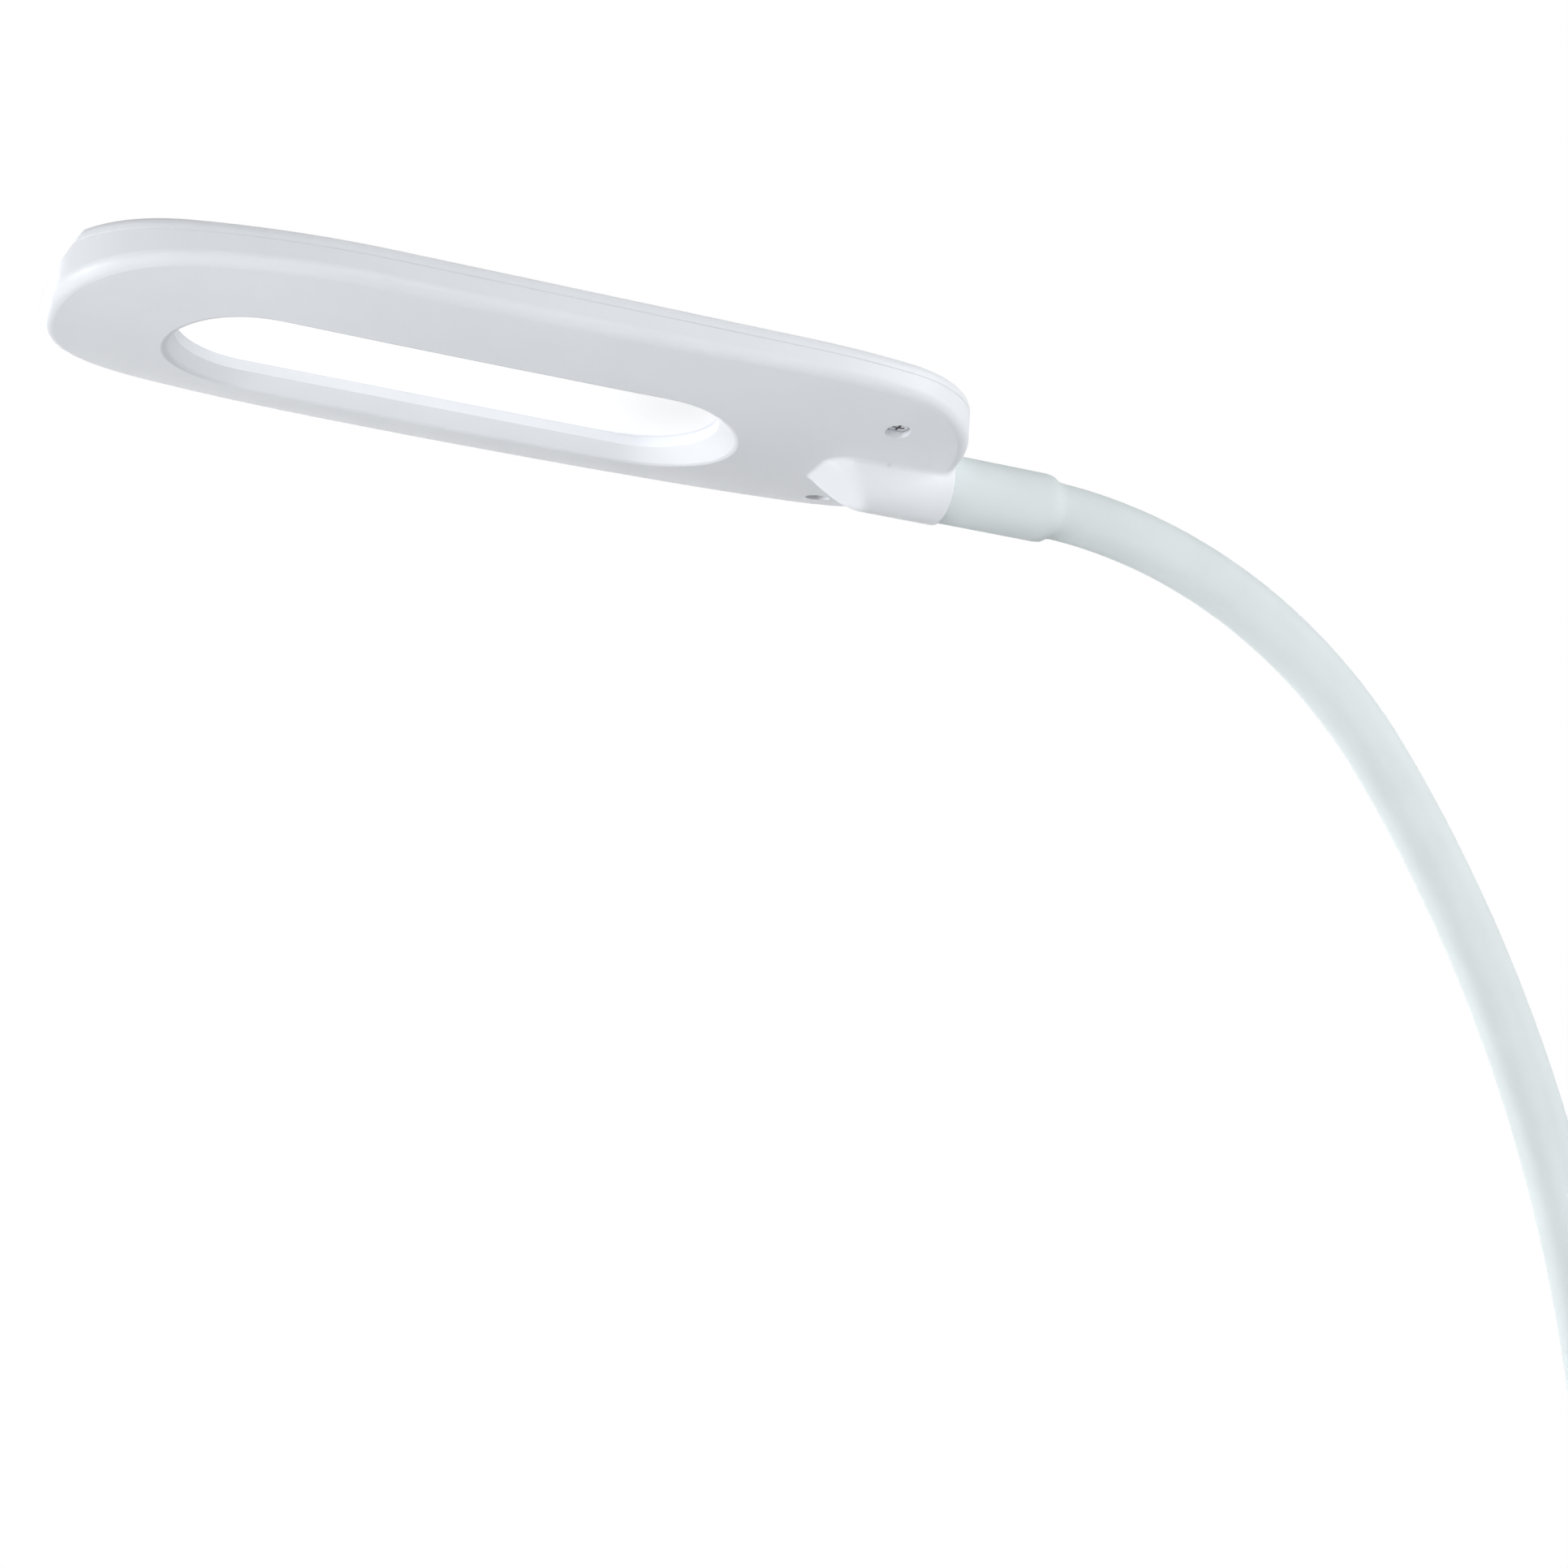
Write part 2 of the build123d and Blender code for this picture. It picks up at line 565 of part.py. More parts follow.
def wire_run(radius, points, bend):
    """A round wire along straight runs with rounded corners."""
    path = FilletPolyline(*points, radius=bend)
    start = Plane(origin=path @ 0, z_dir=path % 0)
    return sweep(start * Circle(radius), path=path)


def make_head():
    body = head_body()
    save_head("head_bottom_cover", head_bottom_cover(body))
    save_head("head_top_cover", head_top_cover(body))

    head_screws = []
    for y in HEAD_SCREW_YS:
        z = (HEAD_SCREW_RECESS_Z - HEAD_SCREW_HEAD_HEIGHT, HEAD_SCREW_TOP_Z)
        one = screw(HEAD_SCREW_HEAD_RADIUS, HEAD_SCREW_HEAD_HEIGHT, HEAD_SCREW_RADIUS, z)
        head_screws.append(Pos(HEAD_SCREW_X, y, 0) * one)
    save_head("head_screws", *head_screws)

    save_head("diffuser", slot_solid(STACK_LENGTH, STACK_WIDTH, (DIFFUSER_Z, GUIDE_Z)))
    guide_size = (STACK_LENGTH - 2 * GUIDE_INSET, STACK_WIDTH - 2 * GUIDE_INSET)
    save_head("light_guide", slot_solid(*guide_size, (GUIDE_Z, REFLECTOR_Z)))
    save_head("reflector_sheet", slot_solid(STACK_LENGTH, STACK_WIDTH, (REFLECTOR_Z, BACK_PLATE_Z)))
    plate_z = (BACK_PLATE_Z, BACK_PLATE_Z + BACK_PLATE_THICKNESS)
    save_head("back_plate", slot_solid(TRAY_LENGTH, TRAY_WIDTH, plate_z))

    strip_y = (STACK_WIDTH / 2 - STRIP_THICKNESS, STACK_WIDTH / 2)
    strip = block((-STRIP_LENGTH / 2, STRIP_LENGTH / 2), strip_y, (GUIDE_Z, REFLECTOR_Z))
    save_head("led_strips", *both_sides(strip))
    chips = []
    chip_step = STRIP_LENGTH / CHIPS_PER_STRIP
    chip_z = (GUIDE_Z + REFLECTOR_Z - CHIP_HEIGHT) / 2
    for number in range(CHIPS_PER_STRIP):
        x = (number + 0.5) * chip_step - STRIP_LENGTH / 2
        chip = block(
            (x - CHIP_LENGTH / 2, x + CHIP_LENGTH / 2),
            (strip_y[0] - CHIP_DEPTH, strip_y[0]),
            (chip_z, chip_z + CHIP_HEIGHT),
        )
        chips += both_sides(chip)
    save_head("led_chips", *chips)

    save_head("neck_saddle", neck_saddle())
    saddle_screws = []
    for y in SADDLE_SCREW_YS:
        size = (SADDLE_SCREW_HEAD_RADIUS, SADDLE_SCREW_HEAD_HEIGHT, HEAD_SCREW_RADIUS)
        one = screw(*size, (0, SADDLE_SCREW_LENGTH))
        top = Pos(SADDLE_SCREW_X, y, SADDLE_STEP_Z + SADDLE_SCREW_HEAD_HEIGHT)
        saddle_screws.append(top * Rot(180, 0, 0) * one)
    save_head("saddle_screws", *saddle_screws)

    ferrule = rod_x(FERRULE_RADIUS, (HEAD_FERRULE_START_X, SWELL_END_X - 1), NECK_AXIS_Z)
    flange = (HEAD_FERRULE_START_X, HEAD_FERRULE_START_X + FLANGE_THICKNESS)
    ferrule += rod_x(FLANGE_RADIUS, flange, NECK_AXIS_Z)
    ferrule -= rod_x(FERRULE_BORE, (HEAD_FERRULE_START_X - 1, SWELL_END_X), NECK_AXIS_Z)
    save_head("head_ferrule", ferrule)

    wire_z = GUIDE_Z + GUIDE_THICKNESS / 2
    slot_x = sum(WIRE_SLOT_X) / 2
    wire = wire_run(
        WIRE_RADIUS,
        [
            (HEAD_FERRULE_START_X - 3.4, 1.0, NECK_AXIS_Z + 0.4),
            (80, 1.5, 5.5),
            (66, 20, wire_z),
            (slot_x, 24, wire_z),
            (slot_x, STACK_WIDTH / 2 + 0.05, wire_z),
        ],
        2.5,
    )
    save_head("head_wires", *both_sides(wire))


# Gooseneck


LOWER_BEND_START = NECK_BEND_Z - NECK_FOOT_Z
UPPER_BEND_START = LOWER_BEND_START + LOWER_BEND_RADIUS * radians(LOWER_BEND_ANGLE)
BENDS_END = UPPER_BEND_START + UPPER_BEND_RADIUS * radians(UPPER_BEND_ANGLE)
NECK_LENGTH = BENDS_END + HEAD_BEND_X - HEAD_FERRULE_START_X
FIRST_JOINT = FIRST_JOINT_Z - NECK_FOOT_Z
LAST_JOINT = BENDS_END - LAST_JOINT_SETBACK
LINK_LENGTH = (LAST_JOINT - FIRST_JOINT) / (JOINT_COUNT - 1)
JOINTS = [FIRST_JOINT + number * LINK_LENGTH for number in range(JOINT_COUNT)]


def neck_plane(distance):
    """Plane square to the neck's centre line, at a distance along it from the clip."""
    x = NECK_X
    z = NECK_FOOT_Z + min(distance, LOWER_BEND_START)
    lean = 0.0
    for radius, start, angle in (
        (LOWER_BEND_RADIUS, LOWER_BEND_START, LOWER_BEND_ANGLE),
        (UPPER_BEND_RADIUS, UPPER_BEND_START, UPPER_BEND_ANGLE),
    ):
        turn = min(max(distance - start, 0) / radius, radians(angle))
        x -= radius * (cos(lean) - cos(lean + turn))
        z += radius * (sin(lean + turn) - sin(lean))
        lean += turn
    x -= max(distance - BENDS_END, 0)
    return Plane(origin=(x, 0, z), x_dir=(0, 1, 0), z_dir=(-sin(lean), 0, cos(lean)))


def neck_rod(radius, start, end):
    """A round bar that follows the neck between two distances."""
    stops = [LOWER_BEND_START, UPPER_BEND_START, BENDS_END]
    cuts = [start] + [stop for stop in stops if start + 0.01 < stop < end - 0.01] + [end]
    edges = []
    for low, high in zip(cuts, cuts[1:]):
        first, middle, last = [neck_plane(at).origin for at in (low, (low + high) / 2, high)]
        straight = high <= LOWER_BEND_START + 0.01 or low >= BENDS_END - 0.01
        edges.append(Line(first, last) if straight else ThreePointArc(first, middle, last))
    return sweep(neck_plane(start) * Circle(radius), path=Wire(edges))


def neck_tube(radius, bore, start, end):
    return neck_rod(radius, start, end) - neck_rod(bore, start - 0.1, end + 0.1)


def bend_gap(distance):
    """The V-shaped gap that lets the sleeve close at a joint, as a solid to cut away."""
    reach = SWELL_RADIUS + 2
    half = tan(radians(BEND_LIMIT / 2 + BEND_MARGIN / 2)) * reach
    profile = Plane.XZ * Polygon((0, 0), (reach, half), (reach, -half), align=None)
    return neck_plane(distance).location * revolve(profile, Axis.Z)


def ball_end(distance):
    """Ball, stem and shoulder of the vertebra above a joint, bored and flared for the cable."""
    ball = Sphere(BALL_RADIUS) + rod_z(STEM_RADIUS, (0, STEM_TOP + 0.5))
    ball += rod_z(CORE_RADIUS - BALL_GAP, (STEM_TOP, STEM_TOP + 1))
    ball -= rod_z(BALL_BORE, (-BALL_RADIUS - 1, STEM_TOP + 4))
    ball -= Pos(0, 0, -BALL_RADIUS / 2) * Cone(FLARE_RADIUS, BALL_BORE, BALL_RADIUS)
    return neck_plane(distance).location * ball


def cup_end(distance):
    """Cup of the vertebra below a joint, which holds the ball past its middle."""
    cup = rod_z(CUP_RADIUS, (-CUP_DEPTH, CUP_RIM)) - Sphere(BALL_RADIUS + BALL_GAP)
    cup -= rod_z(CORE_BORE, (-CUP_DEPTH - 1, -1))
    return neck_plane(distance).location * cup


def make_neck():
    for number in range(1, JOINT_COUNT):
        low, high = JOINTS[number - 1], JOINTS[number]
        sleeve = neck_tube(SLEEVE_RADIUS, SLEEVE_BORE, low, high)
        sleeve -= bend_gap(low)
        sleeve -= bend_gap(high)
        save(f"neck_sleeve_{number}", sleeve)
        core = neck_tube(CORE_RADIUS, CORE_BORE, low + STEM_TOP + 0.5, high - CUP_DEPTH + 0.5)
        core += ball_end(low)
        core += cup_end(high)
        save(f"neck_core_{number}", core)
        save(f"neck_cable_{number}", neck_rod(CABLE_RADIUS, low + CABLE_END_GAP, high - CABLE_END_GAP))

    top = JOINTS[-1]
    swell_end = BENDS_END + HEAD_BEND_X - SWELL_END_X
    socket_end = NECK_LENGTH - (COLLAR_END_X - SLEEVE_SOCKET_DEPTH + 0.1 - HEAD_FERRULE_START_X)
    sleeve = swollen_sleeve(swell_end, socket_end, -1)
    sleeve += neck_tube(SLEEVE_RADIUS, SLEEVE_BORE, top, swell_end - SHOULDER_LENGTH + 0.3)
    save("head_sleeve_end", sleeve - bend_gap(top))
    core = neck_tube(CORE_RADIUS, CORE_BORE, top + STEM_TOP + 0.5, NECK_LENGTH - 5) + ball_end(top)
    save("head_core_end", core)
    save("head_cable", neck_rod(CABLE_RADIUS, top + CABLE_END_GAP, NECK_LENGTH + 3))

    foot = JOINTS[0]
    sleeve = swollen_sleeve(CLIP_SWELL[1], CLIP_SWELL[0], 1)
    sleeve += neck_tube(SLEEVE_RADIUS, SLEEVE_BORE, CLIP_SWELL[1] + SHOULDER_LENGTH - 0.3, foot)
    save("clip_sleeve_end", sleeve - bend_gap(foot))
    core = neck_tube(CORE_RADIUS, CORE_BORE, 3, foot - CUP_DEPTH + 0.5) + cup_end(foot)
    save("clip_core_end", core)


def swollen_sleeve(swell_end, socket_end, way):
    """Sleeve end stretched over a ferrule, with the shoulder down to the plain sleeve."""
    low, high = sorted((swell_end, socket_end))
    thick = neck_tube(SWELL_RADIUS, FERRULE_RADIUS + FIT_GAP, low, high)
    place = neck_plane(swell_end).location
    from_end = (Align.CENTER, Align.CENTER, Align.MIN)
    cone = Cone(SWELL_RADIUS, SLEEVE_RADIUS, SHOULDER_LENGTH, align=from_end)
    bore = Cone(FERRULE_RADIUS + FIT_GAP, SLEEVE_BORE, SHOULDER_LENGTH, align=from_end)
    turn = Rot(0, 0 if way > 0 else 180, 0)
    return thick + (place * turn * (cone - bore))


# Clip


def side_plate(points, radii, y):
    """A profile in the XZ plane with rounded corners, given thickness along y."""
    outline = FilletPolyline(*[(x, z) for x, z in points], radius=radii, close=True)
    face = Plane.XZ * make_face(outline)
    return Pos(0, y[1], 0) * extrude(face, amount=y[1] - y[0])


def grip_ribs(root, end, way):
    """Thumb ribs across the outer face of a handle, which runs from its root to its end."""
    ribs = []
    for x in GRIP_RIB_XS:
        face_z = root[1] + (end[1] - root[1]) * (x - root[0]) / (end[0] - root[0])
        z = face_z + way * (GRIP_RIB_PROUD - GRIP_RIB_RADIUS)
        rib = rod_y(GRIP_RIB_RADIUS, (-GRIP_RIB_HALF_LENGTH, GRIP_RIB_HALF_LENGTH), x, z)
        ribs.append(fillet(rib.edges().filter_by(GeomType.CIRCLE), GRIP_RIB_RADIUS * 0.8))
    return ribs


def clip_shell():
    """Upper jaw, neck tower and upper handle in one moulding, open underneath."""
    width = (-CLIP_HALF_WIDTH, CLIP_HALF_WIDTH)
    handle_z = BASE_Z + HANDLE_RISE
    outline = [
        (NOSE_X, BASE_Z),
        (NOSE_X, NOSE_TOP_Z),
        (TOWER_FOOT_XS[0], NOSE_TOP_Z),
        (TOWER_TOP_XS[0], TOWER_TOP_Z),
        (TOWER_TOP_XS[1], TOWER_TOP_Z),
        (TOWER_FOOT_XS[1], HANDLE_ROOT_Z),
        (HANDLE_END_X, handle_z + HANDLE_THICKNESS),
        (HANDLE_END_X, handle_z),
        (HANDLE_BEND_X, BASE_Z),
    ]
    shell = side_plate(outline, [1.0, 6, 6, 5, 6, 12, 2.8, 2.8, 6], width)
    upper_edges = [
        e for e in shell.edges()
        if abs(abs(e.center().Y) - CLIP_HALF_WIDTH) < 0.01 and e.center().Z > BASE_Z + 2.2
    ]
    shell = fillet(upper_edges, CLIP_EDGE_RADIUS)
    for rib in grip_ribs(outline[5], outline[6], 1):
        shell += rib
    inner = (-CLIP_HALF_WIDTH + CLIP_WALL, CLIP_HALF_WIDTH - CLIP_WALL)
    nose = NOSE_X + CLIP_WALL
    tower_end = HINGE_X - 2
    cavity = [
        (nose, 0),
        (nose, NOSE_CEILING_Z),
        (TOWER_FOOT_XS[0] + 1, NOSE_CEILING_Z),
        (TOWER_TOP_XS[0], TOWER_CEILING_Z),
        (TOWER_TOP_XS[1] - 1, TOWER_CEILING_Z),
        (tower_end, TOWER_CEILING_Z - 3.5),
        (tower_end, 0),
    ]
    shell -= side_plate(cavity, [1, 4, 3, 3, 2, 2, 1], inner)
    shell -= block((30, HANDLE_BEND_X), inner, (0, BASE_TOP_Z))
    shell += rod_z(COLLAR_RING_RADIUS, (TOWER_TOP_Z - 1, TOWER_TOP_Z + COLLAR_RING_HEIGHT), NECK_X)
    ring_top = [
        e for e in shell.edges()
        if e.geom_type == GeomType.CIRCLE and e.center().Z > TOWER_TOP_Z + COLLAR_RING_HEIGHT - 0.01
    ]
    shell = fillet(ring_top, COLLAR_RING_EDGE)
    shell -= rod_z(SWELL_RADIUS + FIT_GAP, (TOWER_TOP_Z, TOWER_TOP_Z + 10), NECK_X)
    shell -= rod_z(FERRULE_RADIUS + FIT_GAP, (0, TOWER_TOP_Z + 1), NECK_X)
    shell -= rod_z(BUTTON_RADIUS + BUTTON_GAP, (0, NOSE_TOP_Z + 5), BUTTON_X)
    slot = Plane.XZ * SlotOverall(INLET_WIDTH + 0.3, INLET_HEIGHT + 0.3)
    shell -= Pos(INLET_X, CLIP_HALF_WIDTH + 5, INLET_Z) * extrude(slot, amount=10)
    for x, y in CLIP_SCREW_PLACES:
        if x < NECK_X:
            shell += rod_z(CLIP_BOSS_RADIUS, (BASE_TOP_Z, NOSE_CEILING_Z + 0.5), x, y)
        shell -= rod_z(CLIP_SCREW_RADIUS + SCREW_GAP, (0, CLIP_SCREW_TOP_Z + 0.2), x, y)
    return shell


def ear(y, drop):
    """Round-ended hinge ear between a plate and the hinge line."""
    half = EAR_LENGTH / 2 - 0.8
    plate = block((HINGE_X - half, HINGE_X + half), y, sorted((HINGE_Z, drop)))
    return plate + rod_y(EAR_RADIUS, y, HINGE_X, HINGE_Z)


def clip_base():
    """Floor of the upper jaw, with the outer hinge ears and the board posts."""
    half = CLIP_HALF_WIDTH - CLIP_WALL - BASE_GAP
    ends = (NOSE_X + CLIP_WALL + BASE_GAP, HANDLE_BEND_X - BASE_GAP)
    base = block(ends, (-half, half), (BASE_Z, BASE_TOP_Z))
    base = fillet(base.edges().filter_by(Axis.Z), 1.2)
    for one in both_sides(ear((BASE_EAR_Y, BASE_EAR_Y + EAR_THICKNESS), BASE_Z + 0.5)):
        base += one
    seat_y = (-SPRING_SEAT_Y[1], -SPRING_SEAT_Y[0])
    base += block(SPRING_SEAT_X, seat_y, (HINGE_Z + SPRING_REACH, BASE_Z + 0.5))
    rest_z = (BASE_TOP_Z - 0.5, BOARD_Z)
    for y in (-BOARD_HALF_WIDTH + 2, BOARD_HALF_WIDTH - 2):
        base += rod_z(1.5, rest_z, BOARD_X[1] - 2, y)
    base += block((BOARD_X[0] + 1, BOARD_X[0] + 3), (-8, 8), rest_z)
    base -= rod_y(PIN_RADIUS, (-30, 30), HINGE_X, HINGE_Z)
    for x, y in CLIP_SCREW_PLACES:
        base -= rod_z(CLIP_SCREW_RADIUS + SCREW_GAP, (0, 20), x, y)
        base -= rod_z(CLIP_SCREW_HEAD_RADIUS + 0.1, (0, BASE_Z + CLIP_SCREW_HEAD_HEIGHT), x, y)
    return base


def lower_jaw():
    """Lower jaw and handle with the inner hinge ears, hollow underneath."""
    handle_z = JAW_TOP_Z - HANDLE_RISE
    outline = [
        (NOSE_X, JAW_TOP_Z),
        (HANDLE_BEND_X, JAW_TOP_Z),
        (HANDLE_END_X, handle_z),
        (HANDLE_END_X, handle_z - HANDLE_THICKNESS),
        (TOWER_FOOT_XS[1], JAW_TOP_Z - JAW_DEPTH),
        (JAW_TAPER_X, JAW_TOP_Z - JAW_DEPTH),
        (NOSE_X, JAW_TOP_Z - JAW_NOSE_DEPTH),
    ]
    jaw = side_plate(outline, [1.0, 6, 2.8, 2.8, 12, 10, 3], (-CLIP_HALF_WIDTH, CLIP_HALF_WIDTH))
    lower_edges = [
        e for e in jaw.edges()
        if abs(abs(e.center().Y) - CLIP_HALF_WIDTH) < 0.01 and e.center().Z < JAW_TOP_Z - 2.2
        and not (e.center().X > HANDLE_BEND_X and e.center().Z > handle_z + 1.5)
    ]
    jaw = fillet(lower_edges, JAW_EDGE_RADIUS)
    for rib in grip_ribs(outline[4], outline[3], -1):
        jaw += rib
    inner = CLIP_HALF_WIDTH - CLIP_WALL - 0.6
    pocket_z = (JAW_TOP_Z - 20, JAW_TOP_Z - JAW_FLOOR)
    for ends in JAW_POCKET_XS:
        for pocket in both_sides(block(ends, (JAW_RIB / 2, inner), pocket_z)):
            jaw -= pocket
    for one in both_sides(ear((JAW_EAR_Y, JAW_EAR_Y + EAR_THICKNESS), JAW_TOP_Z - 0.5)):
        jaw += one
    jaw += block(SPRING_SEAT_X, SPRING_SEAT_Y, (JAW_TOP_Z - 0.5, HINGE_Z - SPRING_REACH))
    return jaw - rod_y(PIN_RADIUS + PIN_GAP, (-30, 30), HINGE_X, HINGE_Z)


def jaw_pad(z):
    """Rubber grip pad with softened edges."""
    pad = block((-PAD_LENGTH / 2, PAD_LENGTH / 2), (-PAD_WIDTH / 2, PAD_WIDTH / 2), z)
    return fillet(pad.edges().filter_by(Axis.Z), 2.5)


def biarc(start, start_way, end, end_way):
    """Two arcs that join two points along two directions."""
    gap = end - start
    ways = start_way + end_way
    spread = 2 * (1 - start_way.dot(end_way))
    reach = (-gap.dot(ways) + sqrt(gap.dot(ways) ** 2 + spread * gap.dot(gap))) / spread
    middle = (start + end + (start_way - end_way) * reach) / 2
    first = Edge.make_tangent_arc(start, start_way, middle)
    second = Edge.make_tangent_arc(middle, first.tangent_at(1), end)
    return [first, second]


def torsion_spring():
    """Torsion spring round the hinge pin, one unbroken wire with two straight legs."""
    lead = SPRING_PITCH / (2 * pi)
    half_width = SPRING_PITCH * SPRING_TURNS / 2

    def at(turn):
        angle = 2 * pi * turn
        x = HINGE_X - SPRING_COIL_RADIUS * sin(angle)
        z = HINGE_Z + SPRING_COIL_RADIUS * cos(angle)
        return Vector(x, SPRING_PITCH * turn - half_width, z)

    def way(turn):
        angle = 2 * pi * turn
        return Vector(-SPRING_COIL_RADIUS * cos(angle), lead, -SPRING_COIL_RADIUS * sin(angle)).normalized()

    first_leg = at(0) - way(0) * SPRING_LEG
    last_leg = at(SPRING_TURNS) + way(SPRING_TURNS) * SPRING_LEG
    edges = [Edge.make_line(first_leg, at(0))]
    quarters = round(SPRING_TURNS * 4)
    for quarter in range(quarters):
        low, high = quarter / 4, (quarter + 1) / 4
        edges += biarc(at(low), way(low), at(high), way(high))
    edges.append(Edge.make_line(at(SPRING_TURNS), last_leg))
    path = Wire(edges)
    section = Plane(origin=first_leg, z_dir=way(0)) * Circle(SPRING_WIRE_RADIUS)

    samples = [at(step / 48) for step in range(int(SPRING_TURNS * 48) + 1)]
    least = min(
        (samples[one] - samples[two]).length
        for one in range(len(samples)) for two in range(one + 24, len(samples))
    )
    print(f"torsion spring: least gap between turns {least - 2 * SPRING_WIRE_RADIUS:.2f} mm")
    return sweep(section, path=path)


def usb_inlet():
    """USB-C socket: oval metal shell, its cavity and the contact tongue."""
    mouth = CLIP_HALF_WIDTH - 0.2
    shell = Plane.XZ * SlotOverall(INLET_WIDTH, INLET_HEIGHT)
    hollow = Plane.XZ * SlotOverall(INLET_WIDTH - 2 * INLET_SHELL, INLET_HEIGHT - 2 * INLET_SHELL)
    place = Pos(INLET_X, mouth, INLET_Z)
    body = place * (extrude(shell, amount=INLET_DEPTH) - extrude(hollow, amount=INLET_DEPTH - 1.1))
    tongue_y = (mouth - INLET_DEPTH + 1, mouth - INLET_DEPTH + 1 + INLET_TONGUE_LENGTH)
    tongue = block(
        (INLET_X - INLET_TONGUE_WIDTH / 2, INLET_X + INLET_TONGUE_WIDTH / 2),
        tongue_y,
        (INLET_Z - INLET_TONGUE_THICKNESS / 2, INLET_Z + INLET_TONGUE_THICKNESS / 2),
    )
    return body + tongue


def power_button():
    """Round push button with a dished top and a retaining flange."""
    top = NOSE_TOP_Z + BUTTON_PROUD
    button = rod_z(BUTTON_RADIUS, (NOSE_CEILING_Z - 0.5, top), BUTTON_X)
    rim = [e for e in button.edges() if e.center().Z > top - 0.01]
    button = fillet(rim, 0.6)
    flange_z = (BUTTON_UNDER_Z, BUTTON_UNDER_Z + BUTTON_FLANGE_THICKNESS)
    button += rod_z(BUTTON_FLANGE_RADIUS, flange_z, BUTTON_X)
    dish = 60.0
    return button - Pos(BUTTON_X, 0, top + dish - 0.4) * Sphere(dish)


def make_clip():
    save("clip_shell", clip_shell())
    save("clip_base", clip_base())
    screws = []
    for x, y in CLIP_SCREW_PLACES:
        size = (CLIP_SCREW_HEAD_RADIUS, CLIP_SCREW_HEAD_HEIGHT, CLIP_SCREW_RADIUS)
        screws.append(Pos(x, y, 0) * screw(*size, (BASE_Z, CLIP_SCREW_TOP_Z)))
    save("clip_screws", *screws)
    save("upper_pad", jaw_pad((0, PAD_THICKNESS)))
    save("lower_pad", jaw_pad((JAW_TOP_Z, -JAW_GAP)))
    save("lower_jaw", lower_jaw())
    save("hinge_pin", rod_y(PIN_RADIUS, (-PIN_HALF_LENGTH, PIN_HALF_LENGTH), HINGE_X, HINGE_Z))
    ring_y = BASE_EAR_Y + EAR_THICKNESS
    ring = rod_y(RETAINER_RADIUS, (ring_y + 0.1, ring_y + 0.1 + RETAINER_THICKNESS), HINGE_X, HINGE_Z)
    ring -= rod_y(PIN_RADIUS, (0, 30), HINGE_X, HINGE_Z)
    ring -= block((HINGE_X - 1, HINGE_X + 1), (0, 30), (HINGE_Z - 6, HINGE_Z))
    save("pin_retainers", *both_sides(ring))
    save("torsion_spring", torsion_spring())

    flange_z = (TOWER_TOP_Z, TOWER_TOP_Z + FLANGE_THICKNESS)
    ferrule = rod_z(FERRULE_RADIUS, (NECK_FOOT_Z, NECK_FOOT_Z + CLIP_FERRULE_LENGTH), NECK_X)
    ferrule += rod_z(CLIP_FLANGE_RADIUS, flange_z, NECK_X)
    ferrule -= rod_z(FERRULE_BORE, (0, 60), NECK_X)
    save("clip_ferrule", ferrule)
    washer_z = (TOWER_CEILING_Z - WASHER_THICKNESS, TOWER_CEILING_Z)
    bore = rod_z(FERRULE_RADIUS + FIT_GAP, (0, 40), NECK_X)
    save("neck_washer", rod_z(WASHER_RADIUS, washer_z, NECK_X) - bore)
    hexagon = RegularPolygon(NUT_ACROSS_FLATS / 2, 6, major_radius=False)
    nut = Pos(NECK_X, 0, washer_z[0] - NUT_HEIGHT) * extrude(hexagon, amount=NUT_HEIGHT)
    save("neck_nut", nut - bore)

    board = block(BOARD_X, (-BOARD_HALF_WIDTH, BOARD_HALF_WIDTH), (BOARD_Z, BOARD_TOP_Z))
    save("control_board", board)
    half = SWITCH_SIZE / 2
    switch_top = BOARD_TOP_Z + SWITCH_HEIGHT
    switch = block((BUTTON_X - half, BUTTON_X + half), (-half, half), (BOARD_TOP_Z, switch_top))
    plunger_z = (switch_top, BUTTON_UNDER_Z - BUTTON_TRAVEL - PLUNGER_GAP)
    switch += rod_z(PLUNGER_RADIUS, plunger_z, BUTTON_X)
    save("tact_switch", switch)
    save("power_button", power_button())
    save("usb_inlet", usb_inlet())
    cable_z = BOARD_TOP_Z + CABLE_RADIUS + FIT_GAP
    cable = wire_run(
        CABLE_RADIUS,
        [(NECK_X, 0, FIRST_JOINT_Z - CABLE_END_GAP), (NECK_X, 0, cable_z), (BOARD_X[1] - 5, 0, cable_z)],
        3.5,
    )
    save("clip_cable", cable)


make_head()
make_neck()
make_clip()
print(f"head origin {HEAD_X:.3f}, {HEAD_Z:.3f}; neck length {NECK_LENGTH:.1f} mm")
for number, distance in enumerate(JOINTS, 1):
    plane = neck_plane(distance)
    lean = degrees(atan2(-plane.z_dir.X, plane.z_dir.Z))
    print(f"joint {number}: {plane.origin.X:.4f}, {plane.origin.Z:.4f}, lean {lean:.4f}")
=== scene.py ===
import json
from math import cos, pi, radians, sin

import bmesh
import bpy
from mathutils import Matrix, Vector

